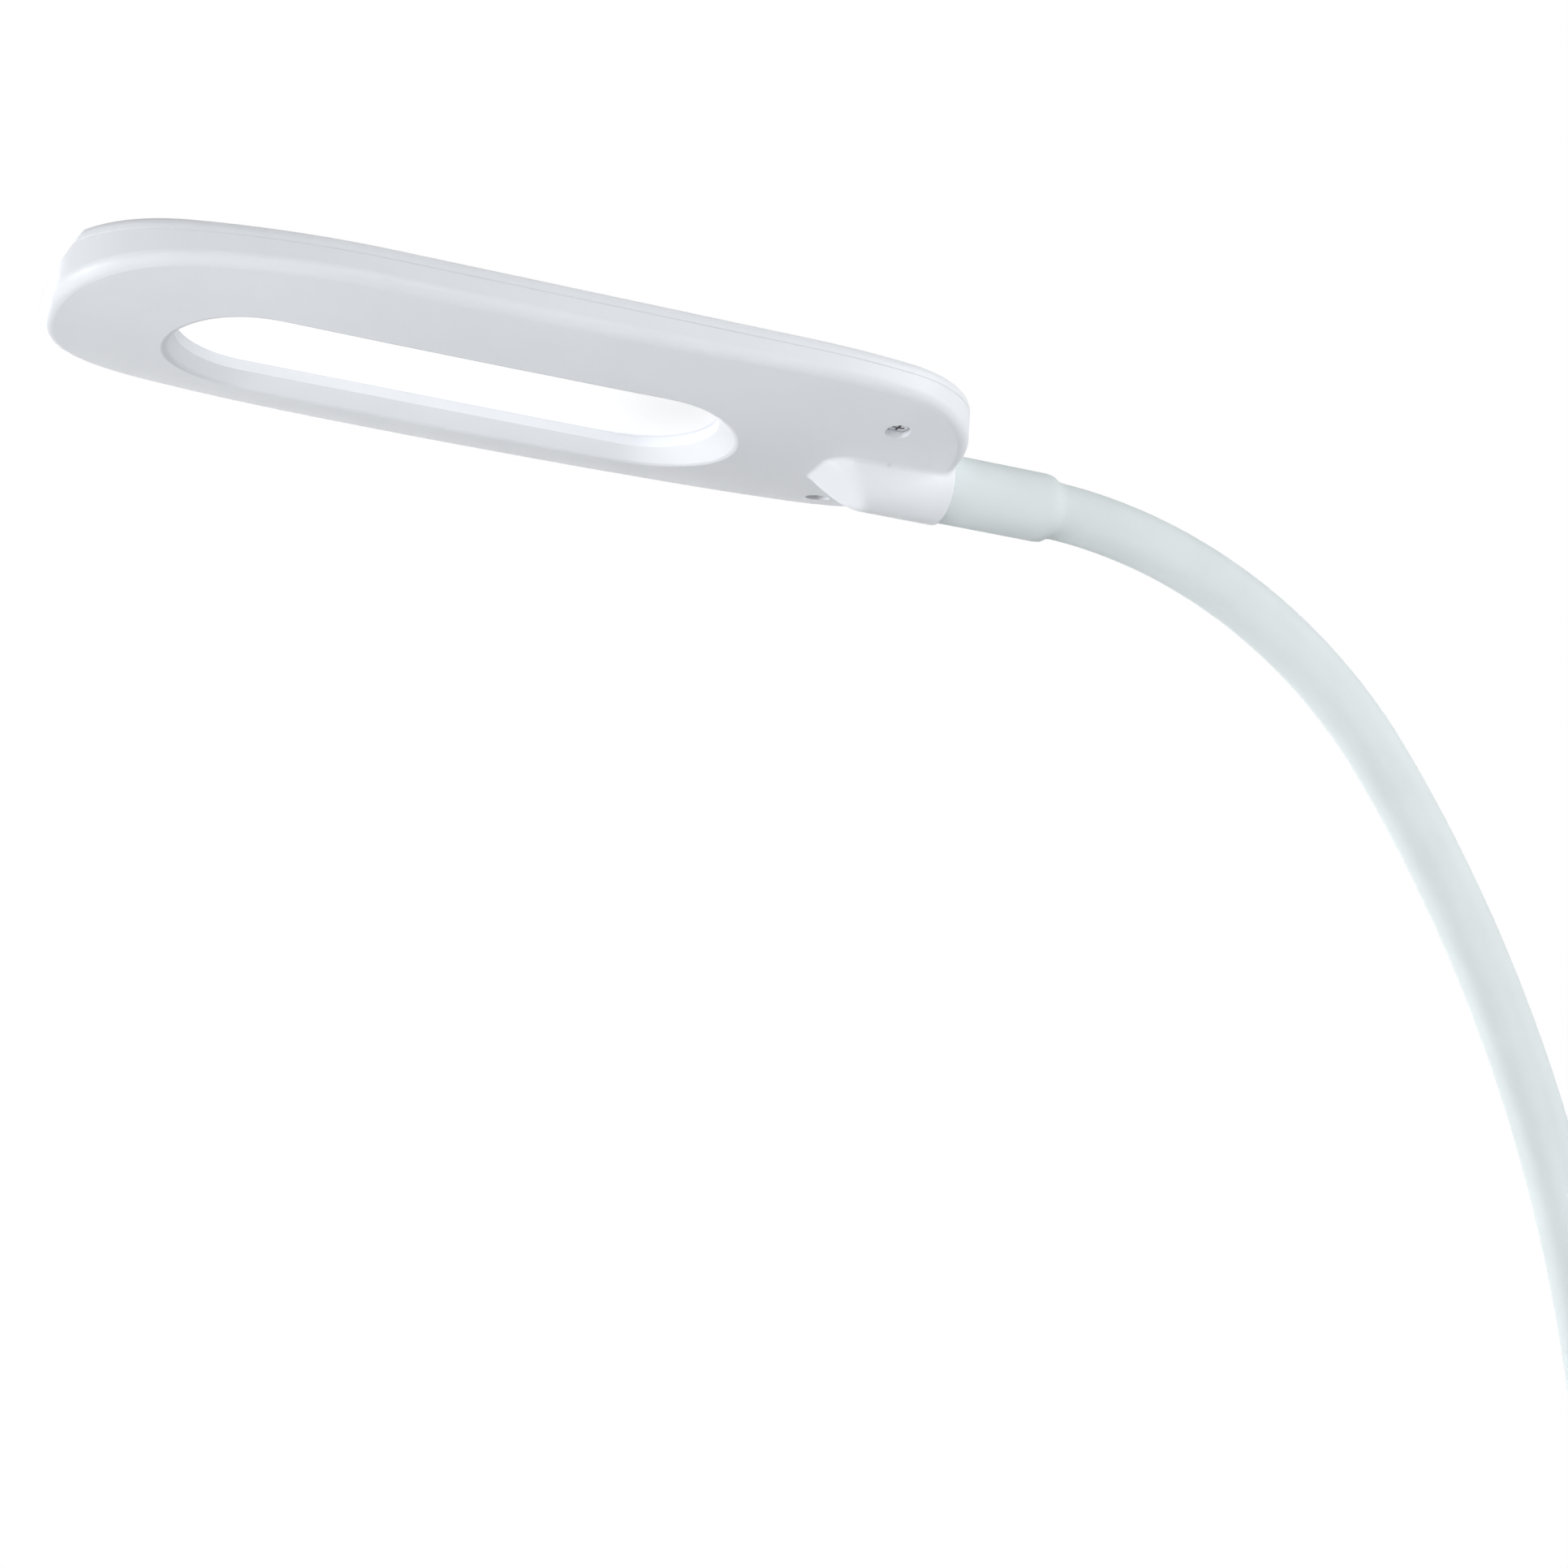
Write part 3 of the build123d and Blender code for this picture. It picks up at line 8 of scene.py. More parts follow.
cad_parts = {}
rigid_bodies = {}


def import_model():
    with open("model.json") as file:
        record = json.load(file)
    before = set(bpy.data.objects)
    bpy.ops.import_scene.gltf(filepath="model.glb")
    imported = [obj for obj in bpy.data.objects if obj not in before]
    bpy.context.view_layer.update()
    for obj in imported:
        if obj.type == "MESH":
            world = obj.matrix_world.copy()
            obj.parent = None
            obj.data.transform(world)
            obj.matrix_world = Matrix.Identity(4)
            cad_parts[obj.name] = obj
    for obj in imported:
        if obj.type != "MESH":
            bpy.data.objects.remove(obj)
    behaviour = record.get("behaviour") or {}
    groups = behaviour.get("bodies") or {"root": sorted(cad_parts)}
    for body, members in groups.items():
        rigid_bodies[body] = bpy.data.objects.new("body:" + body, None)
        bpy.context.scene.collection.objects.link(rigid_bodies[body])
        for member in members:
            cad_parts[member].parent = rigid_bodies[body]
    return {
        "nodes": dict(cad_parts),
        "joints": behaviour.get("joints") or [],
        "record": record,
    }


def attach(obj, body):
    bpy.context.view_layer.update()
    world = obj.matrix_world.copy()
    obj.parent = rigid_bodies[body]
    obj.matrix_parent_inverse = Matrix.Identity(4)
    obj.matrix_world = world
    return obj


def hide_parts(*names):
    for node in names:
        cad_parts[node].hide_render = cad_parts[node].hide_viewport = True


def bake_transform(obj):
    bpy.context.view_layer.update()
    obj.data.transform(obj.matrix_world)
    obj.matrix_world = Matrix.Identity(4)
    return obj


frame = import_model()

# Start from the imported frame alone
for name in ("Cube", "Light", "Camera"):
    if name in bpy.data.objects:
        bpy.data.objects.remove(bpy.data.objects[name])
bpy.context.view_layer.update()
nodes = frame["nodes"]
joints = {joint["name"]: joint for joint in frame["joints"]}

MM = 0.001
Y_WAY = Vector((0, 1, 0))

# Camera: place in the lamp's frame, its three directions and the lens
CAMERA_PLACE = (-0.375114, -0.527698, 0.06526)
CAMERA_RIGHT = (0.930374, -0.361728, 0.059648)
CAMERA_UP = (-0.144577, -0.212499, 0.966407)
CAMERA_FORWARD = (0.336901, 0.907743, 0.250001)
CAMERA_NEAR = 0.01
FOCAL_PIXELS = 3500.0
IMAGE_PIXELS = 1932.0
SENSOR_WIDTH = 36.0

# Gooseneck: straight foot, two arcs, straight end
NECK_X = 22.0 * MM
NECK_FOOT_Z = 13.0 * MM
NECK_BEND_Z = 58.0 * MM
LOWER_BEND_RADIUS = 300.0 * MM
LOWER_BEND_ANGLE = radians(36.5)
UPPER_BEND_RADIUS = 110.0 * MM
UPPER_BEND_ANGLE = pi / 2 - LOWER_BEND_ANGLE
JOINT_COUNT = 8

# Distances along the neck, from its foot, at which the bends start and end
LOWER_START = NECK_BEND_Z - NECK_FOOT_Z
UPPER_START = LOWER_START + LOWER_BEND_RADIUS * LOWER_BEND_ANGLE
BENDS_END = UPPER_START + UPPER_BEND_RADIUS * UPPER_BEND_ANGLE

# Light head, in its own frame: where the neck's bends end, the neck's height and the light window
HEAD_BEND_X = 129.5 * MM
NECK_AXIS_Z = 2.2 * MM
WINDOW_NECK_END_X = 55.35 * MM
WINDOW_WIDTH = 32.3 * MM

# Two faint darker spots at the collar's root, in the head's own frame
MARKS = (Vector((91.5, -8.2, 1.9)) * MM, Vector((92.6, -7.2, 1.9)) * MM)
MARK_CORE = 0.2 * MM
MARK_REACH = 0.9 * MM
MARK_STRENGTH = 0.35
MARK_SHADE = -0.45

# Lit diffuser: its glow fades towards the neck end, where a dark crescent of painted shade stands for the
# shadow gap under the rim
GLOW = 0.66
GLOW_COLOUR = (1.0, 1.0, 1.0)
FADED_COLOUR = (0.64, 0.655, 0.67)
FADE_LENGTH = 42.0 * MM
CRESCENT_SHADE_COLOUR = (0.42, 0.44, 0.49)
CRESCENT_INSETS = (1.3 * MM, 0.5 * MM)
CRESCENT_SLANT = 0.8
CRESCENT_ENDS = (8.0 * MM, 19.0 * MM)

# Silicone sleeve and its swollen ends
SLEEVE_RADIUS = 6.2 * MM
SLEEVE_BORE = 4.95 * MM
SWELL_RADIUS = 7.5 * MM
SHOULDER_LENGTH = 2.8 * MM
CLIP_SWELL = (10.8 * MM, 33.0 * MM)
HEAD_SWELL_XS = (131.2 * MM, 99.6 * MM)
HEAD_SWELL = tuple(BENDS_END + HEAD_BEND_X - x for x in HEAD_SWELL_XS)
SLEEVE_SIDES = 72
SLEEVE_STEP = 1.4 * MM
SLEEVE_STRETCH = 0.85
BEND_SEARCH_STEP = 0.1 * MM
BEND_SEARCH_STEPS = 4000

# Torsion spring round the hinge pin
HINGE = Vector((40.0, 0.0, -2.75)) * MM
SPRING_WIRE_RADIUS = 0.8 * MM
SPRING_COIL_RADIUS = 4.2 * MM
SPRING_PITCH = 2.3 * MM
SPRING_TURNS = 4.5
SPRING_HALF_WIDTH = SPRING_PITCH * SPRING_TURNS / 2
SPRING_LEG = 13.0 * MM
SPRING_LEG_STEPS = (1.0, 0.75, 0.5, 0.25)
SPRING_POINTS_PER_TURN = 36
SPRING_SIDES = 14

# Grip pads
PAD_HALF_LENGTH = 20.0 * MM
PAD_HALF_WIDTH = 16.0 * MM
PAD_THICKNESS = 3.0 * MM
PAD_CORNER = 2.5 * MM
PAD_EDGE = 0.5 * MM
PAD_EDGE_ROUND = 0.3
PAD_BORDER = 2.4 * MM
PAD_STEPS = 160
PAD_END_SHARE = 0.9995
RIB_PITCH = 4.0 * MM
RIB_DEPTH = 0.7 * MM
RIB_STEEPNESS = 2.2
RIB_LAND = 0.6
JAW_GAP = 5.5 * MM

# Floor: its fade into the surround, its colour as seen, and the colour that lights the lamp from below
FLOOR_Z = -0.2
FLOOR_HALF_SIZE = 2.0
FLOOR_FADE = (0.3, 0.85)
FLOOR_PALE = ((0.86, 0.86, 0.86), (0.88, 0.88, 0.88))
FLOOR_BOUNCE = (0.82, 0.82, 0.82)

# Light: the surround's strength, then place, size and power of each softbox, all turned to the head
SURROUND = 0.05
LAMPS = {
    "left softbox": ((-1.5, 0.1, -0.04), 0.3, 9.2),
    "left front softbox": ((-0.9, -0.7, 0.1), 0.4, 1.0),
    "front softbox": ((-0.2, -1.6, -0.03), 0.3, 6.5),
    "right front softbox": ((0.3, -0.5, 0.45), 0.4, 2.85),
    "right softbox": ((0.95, 0.05, 0.5), 0.5, 0.6),
    "top softbox": ((-0.1, -0.1, 1.4), 1.0, 2.8),
    "back left softbox": ((-0.6, 0.9, 0.5), 0.5, 8.5),
}


def smooth(value):
    """Ease from 0 to 1, held outside."""
    value = min(max(value, 0.0), 1.0)
    return value * value * (3 - 2 * value)


def neck_point(distance):
    """Place and lean of the neck's centre line at a distance from its foot."""
    x = NECK_X
    z = NECK_FOOT_Z + min(distance, LOWER_START)
    lean = 0.0
    for radius, start, angle in (
        (LOWER_BEND_RADIUS, LOWER_START, LOWER_BEND_ANGLE),
        (UPPER_BEND_RADIUS, UPPER_START, UPPER_BEND_ANGLE),
    ):
        turn = min(max(distance - start, 0) / radius, angle)
        x -= radius * (cos(lean) - cos(lean + turn))
        z += radius * (sin(lean + turn) - sin(lean))
        lean += turn
    x -= max(distance - BENDS_END, 0)
    return Vector((x, 0, z)), lean


HEAD_PLACE = neck_point(BENDS_END)[0] - Vector((HEAD_BEND_X, 0, NECK_AXIS_Z))


# Materials


class Shader:
    """A node material with one principled shader, and short ways to add nodes."""

    def __init__(self, name, roughness, **sockets):
        self.material = bpy.data.materials.new(name)
        self.material.use_nodes = True
        self.tree = self.material.node_tree
        self.shader = self.tree.nodes["Principled BSDF"]
        self.shader.inputs["Roughness"].default_value = roughness
        for socket, value in sockets.items():
            self.shader.inputs[socket.replace("_", " ")].default_value = value
        self.place = self.add("ShaderNodeTexCoord").outputs["Object"]

    def add(self, kind, **settings):
        node = self.tree.nodes.new(kind)
        for key, value in settings.items():
            setattr(node, key, value)
        return node

    def link(self, source, target):
        self.tree.links.new(source, target)

    def noise(self, scale, detail, roughness=0.55, stretch=None):
        """Noise over the piece's own coordinates, in features per metre."""
        source = self.place
        if stretch:
            mapping = self.add("ShaderNodeMapping")
            mapping.inputs["Scale"].default_value = stretch
            self.link(source, mapping.inputs["Vector"])
            source = mapping.outputs["Vector"]
        node = self.add("ShaderNodeTexNoise")
        node.inputs["Scale"].default_value = scale
        node.inputs["Detail"].default_value = detail
        node.inputs["Roughness"].default_value = roughness
        self.link(source, node.inputs["Vector"])
        return node.outputs["Fac"]

    def span(self, value, low, high, start=0.35, end=0.65):
        """A value moved from one range to another, by default from the middle of a noise."""
        node = self.add("ShaderNodeMapRange", interpolation_type="SMOOTHSTEP")
        node.inputs["From Min"].default_value = start
        node.inputs["From Max"].default_value = end
        node.inputs["To Min"].default_value = low
        node.inputs["To Max"].default_value = high
        self.link(value, node.inputs["Value"])
        return node.outputs["Result"]

    def mix(self, factor, first, second):
        """A colour between two colours, which are tuples or sockets."""
        node = self.add("ShaderNodeMix", data_type="RGBA")
        self.link(factor, node.inputs["Factor"])
        for socket, colour in ((node.inputs["A"], first), (node.inputs["B"], second)):
            if isinstance(colour, tuple):
                socket.default_value = (*colour, 1.0)
            else:
                self.link(colour, socket)
        return node.outputs["Result"]

    def math(self, operation, first, second=0.0):
        """One step of arithmetic on values, which are numbers or sockets."""
        node = self.add("ShaderNodeMath", operation=operation)
        for socket, value in zip(node.inputs, (first, second)):
            if isinstance(value, (int, float)):
                socket.default_value = value
            else:
                self.link(value, socket)
        return node.outputs["Value"]

    def cloud(self, scale, detail, colour, darker, lighter):
        """Soft patches in the base colour, darker and lighter by a share."""
        patches = self.span(self.noise(scale, detail), 0.0, 1.0)
        return self.mix(patches, shaded(colour, -darker), shaded(colour, lighter))

    def colour(self, output):
        self.link(output, self.shader.inputs["Base Color"])

    def roughness(self, output):
        self.link(output, self.shader.inputs["Roughness"])

    def bump(self, height, strength, distance):
        node = self.add("ShaderNodeBump")
        node.inputs["Strength"].default_value = strength
        node.inputs["Distance"].default_value = distance
        self.link(height, node.inputs["Height"])
        self.link(node.outputs["Normal"], self.shader.inputs["Normal"])


def shaded(colour, change):
    """A colour made lighter or darker by a share."""
    return tuple(min(channel * (1 + change), 1.0) for channel in colour)


def moulded_plastic(name, colour, roughness, marks=()):
    """Injection moulded plastic: a faint cloud in the colour, uneven gloss and a fine skin."""
    made = Shader(name, roughness, IOR=1.48, Specular_IOR_Level=0.35)
    tint = made.cloud(scale=28, detail=3, colour=colour, darker=0.012, lighter=0.008)
    for mark in marks:
        gap = made.add("ShaderNodeVectorMath", operation="DISTANCE")
        made.link(made.place, gap.inputs[0])
        gap.inputs[1].default_value = HEAD_PLACE + mark
        near = made.span(gap.outputs["Value"], MARK_STRENGTH, 0.0, start=MARK_CORE, end=MARK_REACH)
        tint = made.mix(near, tint, shaded(colour, MARK_SHADE))
    made.colour(tint)
    gloss = made.noise(scale=160, detail=2)
    made.roughness(made.span(gloss, roughness - 0.03, roughness + 0.04))
    made.bump(made.noise(scale=5200, detail=2), strength=0.05, distance=0.02 * MM)
    return made.material


def soft_rubber(name, colour, roughness):
    """Silicone or rubber: dusty bloom and a fine matte grain."""
    made = Shader(name, roughness, IOR=1.42, Specular_IOR_Level=0.25)
    made.colour(made.cloud(scale=60, detail=5, colour=colour, darker=0.02, lighter=0.015))
    gloss = made.noise(scale=240, detail=3)
    made.roughness(made.span(gloss, roughness - 0.05, roughness + 0.06))
    made.bump(made.noise(scale=4200, detail=4), strength=0.12, distance=0.03 * MM)
    return made.material


def plain_metal(name, colour, roughness, grain=(1, 1, 1)):
    """Bare or plated metal with drawn or brushed streaks."""
    made = Shader(name, roughness, Metallic=1.0)
    streak = made.noise(scale=900, detail=5, roughness=0.6, stretch=grain)
    made.colour(made.mix(made.span(streak, 0.0, 1.0), shaded(colour, -0.1), shaded(colour, 0.06)))
    made.roughness(made.span(streak, roughness - 0.06, roughness + 0.1))
    made.bump(streak, strength=0.08, distance=0.02 * MM)
    return made.material


def lit_diffuser(name, colour):
    """Opal sheet lit from behind, which fades towards the neck end, with a crescent of painted shade along
    the rim there.
    """
    made = Shader(name, 0.5, IOR=1.49)
    made.colour(made.cloud(scale=1400, detail=3, colour=colour, darker=0.02, lighter=0.0))
    split = made.add("ShaderNodeSeparateXYZ")
    made.link(made.place, split.inputs["Vector"])
    x = split.outputs["X"]
    y = split.outputs["Y"]
    end = HEAD_PLACE.x + WINDOW_NECK_END_X
    fade = made.span(x, 0.0, 1.0, start=end - FADE_LENGTH, end=end)
    lit = made.mix(fade, GLOW_COLOUR, FADED_COLOUR)
    from_centre = made.math("SUBTRACT", x, end - WINDOW_WIDTH / 2)
    along = made.math("MULTIPLY", from_centre, from_centre)
    aside = made.math("MULTIPLY", y, y)
    reach = made.math("SQRT", made.math("ADD", along, aside))
    # Painted shade: a dark crescent along the rim at the neck end, for the shadow gap between the diffuser
    # and the wall
    rim_start, rim_end = (WINDOW_WIDTH / 2 - inset for inset in CRESCENT_INSETS)
    rim = made.span(reach, 0.0, 1.0, start=rim_start, end=rim_end)
    slanted = made.math("ADD", from_centre, made.math("MULTIPLY", y, CRESCENT_SLANT))
    turned = made.span(slanted, 0.0, 1.0, *CRESCENT_ENDS)
    lit = made.mix(made.math("MULTIPLY", rim, turned), lit, CRESCENT_SHADE_COLOUR)
    made.link(lit, made.shader.inputs["Emission Color"])
    made.shader.inputs["Emission Strength"].default_value = GLOW
    return made.material


def clear_sheet(name, colour):
    """Polished clear sheet with faint flow lines."""
    made = Shader(name, 0.08, IOR=1.49, Transmission_Weight=0.9)
    made.colour(made.cloud(scale=40, detail=3, colour=colour, darker=0.02, lighter=0.0))
    made.bump(made.noise(scale=90, detail=2), strength=0.02, distance=0.05 * MM)
    return made.material


WHITE = (0.8, 0.825, 0.862)
SILICONE = (0.693, 0.752, 0.765)
finishes = {
    "white_plastic": moulded_plastic("white plastic", WHITE, 0.4),
    "silicone_sleeve": soft_rubber("silicone sleeve", SILICONE, 0.62),
    "neck_steel": plain_metal("neck steel", (0.55, 0.56, 0.58), 0.35),
    "cable_jacket": soft_rubber("cable jacket", (0.75, 0.75, 0.76), 0.5),
    "screw_steel": plain_metal("screw steel", (0.72, 0.72, 0.74), 0.22),
    "diffuser_plastic": lit_diffuser("lit diffuser", (0.6, 0.6, 0.605)),
    "clear_acrylic": clear_sheet("clear acrylic", (0.95, 0.96, 0.965)),
    "reflector_film": moulded_plastic("reflector film", (0.9, 0.9, 0.9), 0.25),
    "plate_aluminium": plain_metal("plate aluminium", (0.8, 0.81, 0.82), 0.3, (1, 12, 1)),
    "board": moulded_plastic("circuit board", (0.78, 0.82, 0.78), 0.4),
    "led_phosphor": moulded_plastic("phosphor", (0.9, 0.75, 0.3), 0.3),
    "saddle_plastic": moulded_plastic("saddle plastic", (0.72, 0.72, 0.73), 0.5),
    "ferrule_steel": plain_metal("ferrule steel", (0.7, 0.7, 0.71), 0.28),
    "pin_steel": plain_metal("pin steel", (0.66, 0.66, 0.68), 0.25, (1, 14, 1)),
    "spring_steel": plain_metal("spring steel", (0.6, 0.6, 0.62), 0.28),
    "grip_rubber": soft_rubber("grip rubber", (0.42, 0.44, 0.45), 0.7),
    "button_plastic": moulded_plastic("button plastic", (0.5, 0.52, 0.535), 0.45),
    "switch_plastic": moulded_plastic("switch plastic", (0.05, 0.05, 0.055), 0.4),
    "inlet_metal": plain_metal("inlet metal", (0.72, 0.72, 0.73), 0.25),
}
marked_plastic = moulded_plastic("marked white plastic", WHITE, 0.4, MARKS)


def finish_nodes():
    """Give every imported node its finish, on the object's own material slots."""
    slots = {entry["node"]: entry["material_slot"] for entry in frame["record"]["subparts"]}
    for name, node in nodes.items():
        finish = marked_plastic if name == "head_bottom_cover" else finishes[slots[name]]
        for place in node.material_slots:
            place.link = "OBJECT"
            place.material = finish


# Mesh helpers


def mesh_piece(name, bm, finish, sharp=radians(40)):
    """Turn a bmesh into a smooth shaded piece with crisp edges past an angle."""
    bmesh.ops.recalc_face_normals(bm, faces=bm.faces)
    mesh = bpy.data.meshes.new(name)
    bm.to_mesh(mesh)
    bm.free()
    mesh.shade_smooth()
    mesh.set_sharp_from_angle(angle=sharp)
    piece = bpy.data.objects.new(name, mesh)
    bpy.context.collection.objects.link(piece)
    mesh.materials.append(finishes[finish])
    return piece


def round_ring(bm, centre, radius, across, beside, sides):
    """A circle of vertices round a centre, in the plane of two directions."""
    ring = []
    for side in range(sides):
        angle = 2 * pi * side / sides
        ring.append(bm.verts.new(centre + radius * (cos(angle) * across + sin(angle) * beside)))
    return ring


def skin_rings(bm, rings):
    """Join rings of vertices, in order, with quads."""
    for one, two in zip(rings, rings[1:]):
        count = len(one)
        for side in range(count):
            after = (side + 1) % count
            bm.faces.new((one[side], one[after], two[after], two[side]))


def skin_bar(bm, rings):
    """Join rings of vertices into a bar with flat ends."""
    skin_rings(bm, rings)
    bm.faces.new(rings[0])
    bm.faces.new(rings[-1])


# Gooseneck sleeve


def sleeve_radius(distance):
    """Outer radius of the sleeve: plain, with a soft shoulder up to each swollen end."""
    foot = 1 - smooth((distance - CLIP_SWELL[1]) / SHOULDER_LENGTH)
    head = smooth((distance - HEAD_SWELL[0] + SHOULDER_LENGTH) / SHOULDER_LENGTH)
    return SLEEVE_RADIUS + (SWELL_RADIUS - SLEEVE_RADIUS) * max(foot, head)


def neck_ring(bm, distance, radius):
    """A ring of vertices square to the neck."""
    centre, lean = neck_point(distance)
    across = Vector((cos(lean), 0, sin(lean)))
    return round_ring(bm, centre, radius, across, Y_WAY, SLEEVE_SIDES)


def sleeve_piece(name, start, end):
    """A closed tube of sleeve between two distances along the neck."""
    steps = max(round((end - start) / SLEEVE_STEP), 2)
    stations = [start + (end - start) * step / steps for step in range(steps + 1)]
    bm = bmesh.new()
    outer = [neck_ring(bm, at, sleeve_radius(at)) for at in stations]
    wall = SLEEVE_RADIUS - SLEEVE_BORE
    inner = [neck_ring(bm, at, sleeve_radius(at) - wall) for at in reversed(stations)]
    skin_rings(bm, outer + inner + outer[:1])
    return mesh_piece(name, bm, "silicone_sleeve")


def bend_distance(place):
    """Distance along the neck at which its centre line comes nearest to a place."""
    distances = [step * BEND_SEARCH_STEP for step in range(BEND_SEARCH_STEPS)]
    return min(distances, key=lambda at: (neck_point(at)[0] - place).length)


def make_sleeve():
    """The sleeve in one length for each bend, meeting half way along the links."""
    names = [name for name in joints if name.startswith("neck_")]
    bends = [bend_distance(Vector(joints[name]["pos_m"])) for name in names]
    middles = [(one + two) / 2 for one, two in zip(bends, bends[1:])]
    ends = [CLIP_SWELL[0]] + middles + [HEAD_SWELL[1]]
    stands_for = [["clip_sleeve_end"]] + [[f"neck_sleeve_{number}"] for number in range(1, JOINT_COUNT - 1)]
    stands_for.append([f"neck_sleeve_{JOINT_COUNT - 1}", "head_sleeve_end"])
    reach = SLEEVE_STRETCH * (bends[1] - bends[0]) / 2
    for number, name in enumerate(names):
        piece = sleeve_piece(f"sleeve_{number + 1}", ends[number], ends[number + 1])
        start = neck_point(bends[number] - reach)[0]
        end = neck_point(bends[number] + reach)[0]
        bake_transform(piece)
        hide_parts(*stands_for[number])


# Torsion spring


def coil_point(turn):
    """Place on the spring's coil after a number of turns."""
    angle = 2 * pi * turn
    along = SPRING_PITCH * turn - SPRING_HALF_WIDTH
    return HINGE + Vector((-SPRING_COIL_RADIUS * sin(angle), along, SPRING_COIL_RADIUS * cos(angle)))


def coil_way(turn):
    """Direction of the wire after a number of turns."""
    angle = 2 * pi * turn
    lead = SPRING_PITCH / (2 * pi)
    return Vector((-SPRING_COIL_RADIUS * cos(angle), lead, -SPRING_COIL_RADIUS * sin(angle))).normalized()


def spring_path():
    """Points along the spring's wire: leg, turns, leg."""
    count = round(SPRING_TURNS * SPRING_POINTS_PER_TURN)
    first_leg = coil_way(0) * SPRING_LEG
    last_leg = coil_way(SPRING_TURNS) * SPRING_LEG
    points = [coil_point(0) - first_leg * step for step in SPRING_LEG_STEPS]
    points += [coil_point(step / SPRING_POINTS_PER_TURN) for step in range(count + 1)]
    points += [coil_point(SPRING_TURNS) + last_leg * step for step in reversed(SPRING_LEG_STEPS)]
    return points


def make_spring():
    """The spring's wire round the hinge pin, as a fixed piece that does not wind up as the lower jaw opens.
    """
    points = spring_path()
    bm = bmesh.new()
    rings = []
    last = len(points) - 1
    for number, point in enumerate(points):
        way = (points[min(number + 1, last)] - points[max(number - 1, 0)]).normalized()
        across = way.cross(Y_WAY).normalized()
        rings.append(round_ring(bm, point, SPRING_WIRE_RADIUS, across, way.cross(across), SPRING_SIDES))
    skin_bar(bm, rings)
    piece = mesh_piece("hinge_spring", bm, "spring_steel")
    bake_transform(piece)
    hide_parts("torsion_spring")


# Grip pads


def pad_width(x):
    """Half the pad's width at a place along it, with its corners rounded."""
    past = max(abs(x) - (PAD_HALF_LENGTH - PAD_CORNER), 0.0)
    return PAD_HALF_WIDTH - PAD_CORNER + (PAD_CORNER**2 - past**2) ** 0.5


def rib_drop(x):
    """How far the grip face is cut back at a place along the pad."""
    if abs(x) > PAD_HALF_LENGTH - PAD_BORDER:
        return 0.0
    return RIB_DEPTH * smooth(RIB_STEEPNESS * abs(sin(pi * x / RIB_PITCH)) - RIB_LAND)


def pad_profile(x):
    """The pad's section across at a place along it, as places across and heights over its back."""
    edge = -pad_width(x)
    front = PAD_THICKNESS - PAD_EDGE * smooth(1 - (PAD_HALF_LENGTH - abs(x)) / PAD_EDGE)
    ribbed = front - rib_drop(x)
    rounding = PAD_EDGE * PAD_EDGE_ROUND
    profile = [(edge, 0.0), (edge, front - PAD_EDGE), (edge + rounding, front - rounding)]
    profile += [(edge + PAD_EDGE, front), (edge + PAD_BORDER, front)]
    profile += [(edge + PAD_BORDER + RIB_DEPTH, ribbed), (0.0, ribbed)]
    return profile + [(-y, z) for y, z in reversed(profile[:-1])]


def make_pad(name, node, body, back_z, grip_way):
    """A rubber pad with rounded corners and ribs across its grip face."""
    bm = bmesh.new()
    rings = []
    for step in range(PAD_STEPS + 1):
        share = 2 * step / PAD_STEPS - 1
        x = PAD_HALF_LENGTH * min(max(share, -PAD_END_SHARE), PAD_END_SHARE)
        rings.append([bm.verts.new((x, y, back_z + grip_way * z)) for y, z in pad_profile(x)])
    skin_bar(bm, rings)
    piece = mesh_piece(name, bm, "grip_rubber")
    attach(piece, body)
    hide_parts(node)


# Stage, light and camera


def make_floor():
    """Pale floor that keeps the shadow and fades into the white surround."""
    mesh = bpy.data.meshes.new("floor")
    half = FLOOR_HALF_SIZE
    corners = [(x, y, FLOOR_Z) for x, y in ((-half, -half), (half, -half), (half, half), (-half, half))]
    mesh.from_pydata(corners, [], [(0, 1, 2, 3)])
    floor = bpy.data.objects.new("floor", mesh)
    bpy.context.collection.objects.link(floor)
    made = Shader("floor", 0.85)
    pale = made.mix(made.span(made.noise(scale=3, detail=4), 0.0, 1.0), *FLOOR_PALE)
    seen = made.add("ShaderNodeLightPath").outputs["Is Camera Ray"]
    made.colour(made.mix(seen, FLOOR_BOUNCE, pale))
    reach = made.add("ShaderNodeVectorMath", operation="LENGTH")
    made.link(made.place, reach.inputs[0])
    far = made.span(reach.outputs["Value"], 0.0, 1.0, *FLOOR_FADE)
    white = made.add("ShaderNodeEmission")
    white.inputs["Strength"].default_value = 1.0
    fade = made.add("ShaderNodeMixShader")
    made.link(made.math("MULTIPLY", far, seen), fade.inputs["Fac"])
    made.link(made.shader.outputs["BSDF"], fade.inputs[1])
    made.link(white.outputs["Emission"], fade.inputs[2])
    output = made.tree.nodes["Material Output"]
    made.link(fade.outputs["Shader"], output.inputs["Surface"])
    mesh.materials.append(made.material)


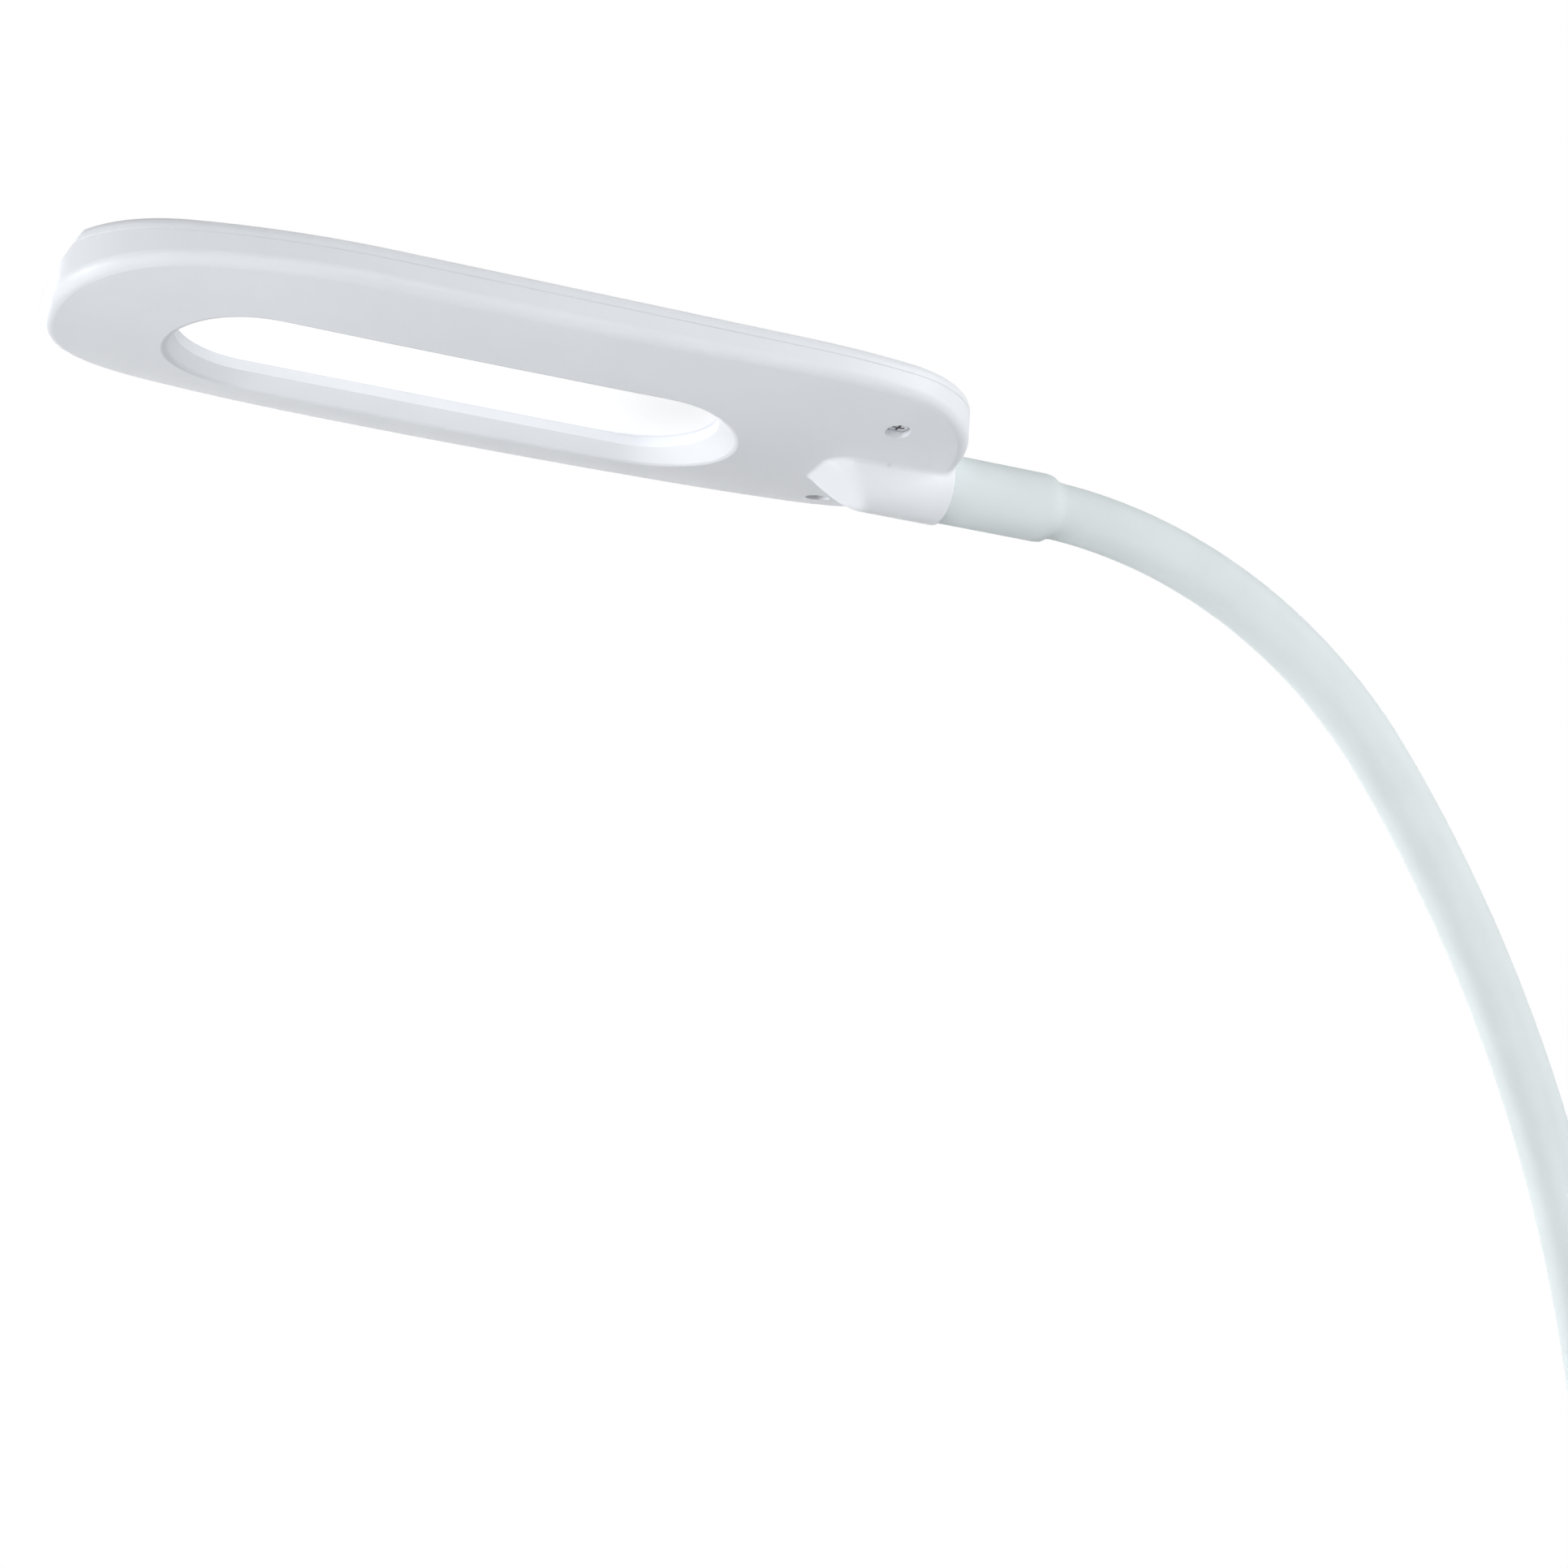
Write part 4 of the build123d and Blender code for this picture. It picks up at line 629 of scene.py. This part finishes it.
def make_surround():
    """A surround that lights faintly, and that the camera, gloss and glass see as white."""
    world = bpy.data.worlds.new("surround")
    bpy.context.scene.world = world
    world.use_nodes = True
    tree = world.node_tree
    tree.nodes.clear()
    add = tree.nodes.new
    link = tree.links.new
    pick = add("ShaderNodeMixShader")
    for socket, strength in ((pick.inputs[1], SURROUND), (pick.inputs[2], 1.0)):
        background = add("ShaderNodeBackground")
        background.inputs["Color"].default_value = (1, 1, 1, 1)
        background.inputs["Strength"].default_value = strength
        link(background.outputs["Background"], socket)
    path = add("ShaderNodeLightPath")
    seen = path.outputs["Is Camera Ray"]
    for ray in ("Is Glossy Ray", "Is Transmission Ray"):
        either = add("ShaderNodeMath")
        either.operation = "MAXIMUM"
        link(seen, either.inputs[0])
        link(path.outputs[ray], either.inputs[1])
        seen = either.outputs["Value"]
    link(seen, pick.inputs["Fac"])
    output = add("ShaderNodeOutputWorld")
    link(pick.outputs["Shader"], output.inputs["Surface"])


def make_lamps():
    """Soft studio light: round softboxes turned to the head."""
    for name, (place, size, power) in LAMPS.items():
        lamp = bpy.data.lights.new(name, "AREA")
        lamp.shape = "DISK"
        lamp.size = size
        lamp.energy = power
        box = bpy.data.objects.new(name, lamp)
        box.location = place
        box.rotation_euler = (Vector(place) - HEAD_PLACE).to_track_quat("Z", "Y").to_euler()
        box.visible_camera = False
        bpy.context.collection.objects.link(box)


def make_camera():
    """Camera at the photograph's viewing angle."""
    camera = bpy.data.cameras.new("camera")
    camera.sensor_width = SENSOR_WIDTH
    camera.lens = FOCAL_PIXELS / IMAGE_PIXELS * SENSOR_WIDTH
    camera.clip_start = CAMERA_NEAR
    holder = bpy.data.objects.new("camera", camera)
    turn = Matrix((CAMERA_RIGHT, CAMERA_UP, [-value for value in CAMERA_FORWARD])).transposed()
    holder.matrix_world = Matrix.Translation(CAMERA_PLACE) @ turn.to_4x4()
    bpy.context.collection.objects.link(holder)
    bpy.context.scene.camera = holder


finish_nodes()
make_sleeve()
make_spring()
make_pad("upper_grip_pad", "upper_pad", "clip", PAD_THICKNESS, -1)
make_pad("lower_grip_pad", "lower_pad", "lower_jaw", -JAW_GAP - PAD_THICKNESS, 1)
make_floor()
make_surround()
make_lamps()
make_camera()
bpy.context.scene.view_settings.view_transform = "Standard"
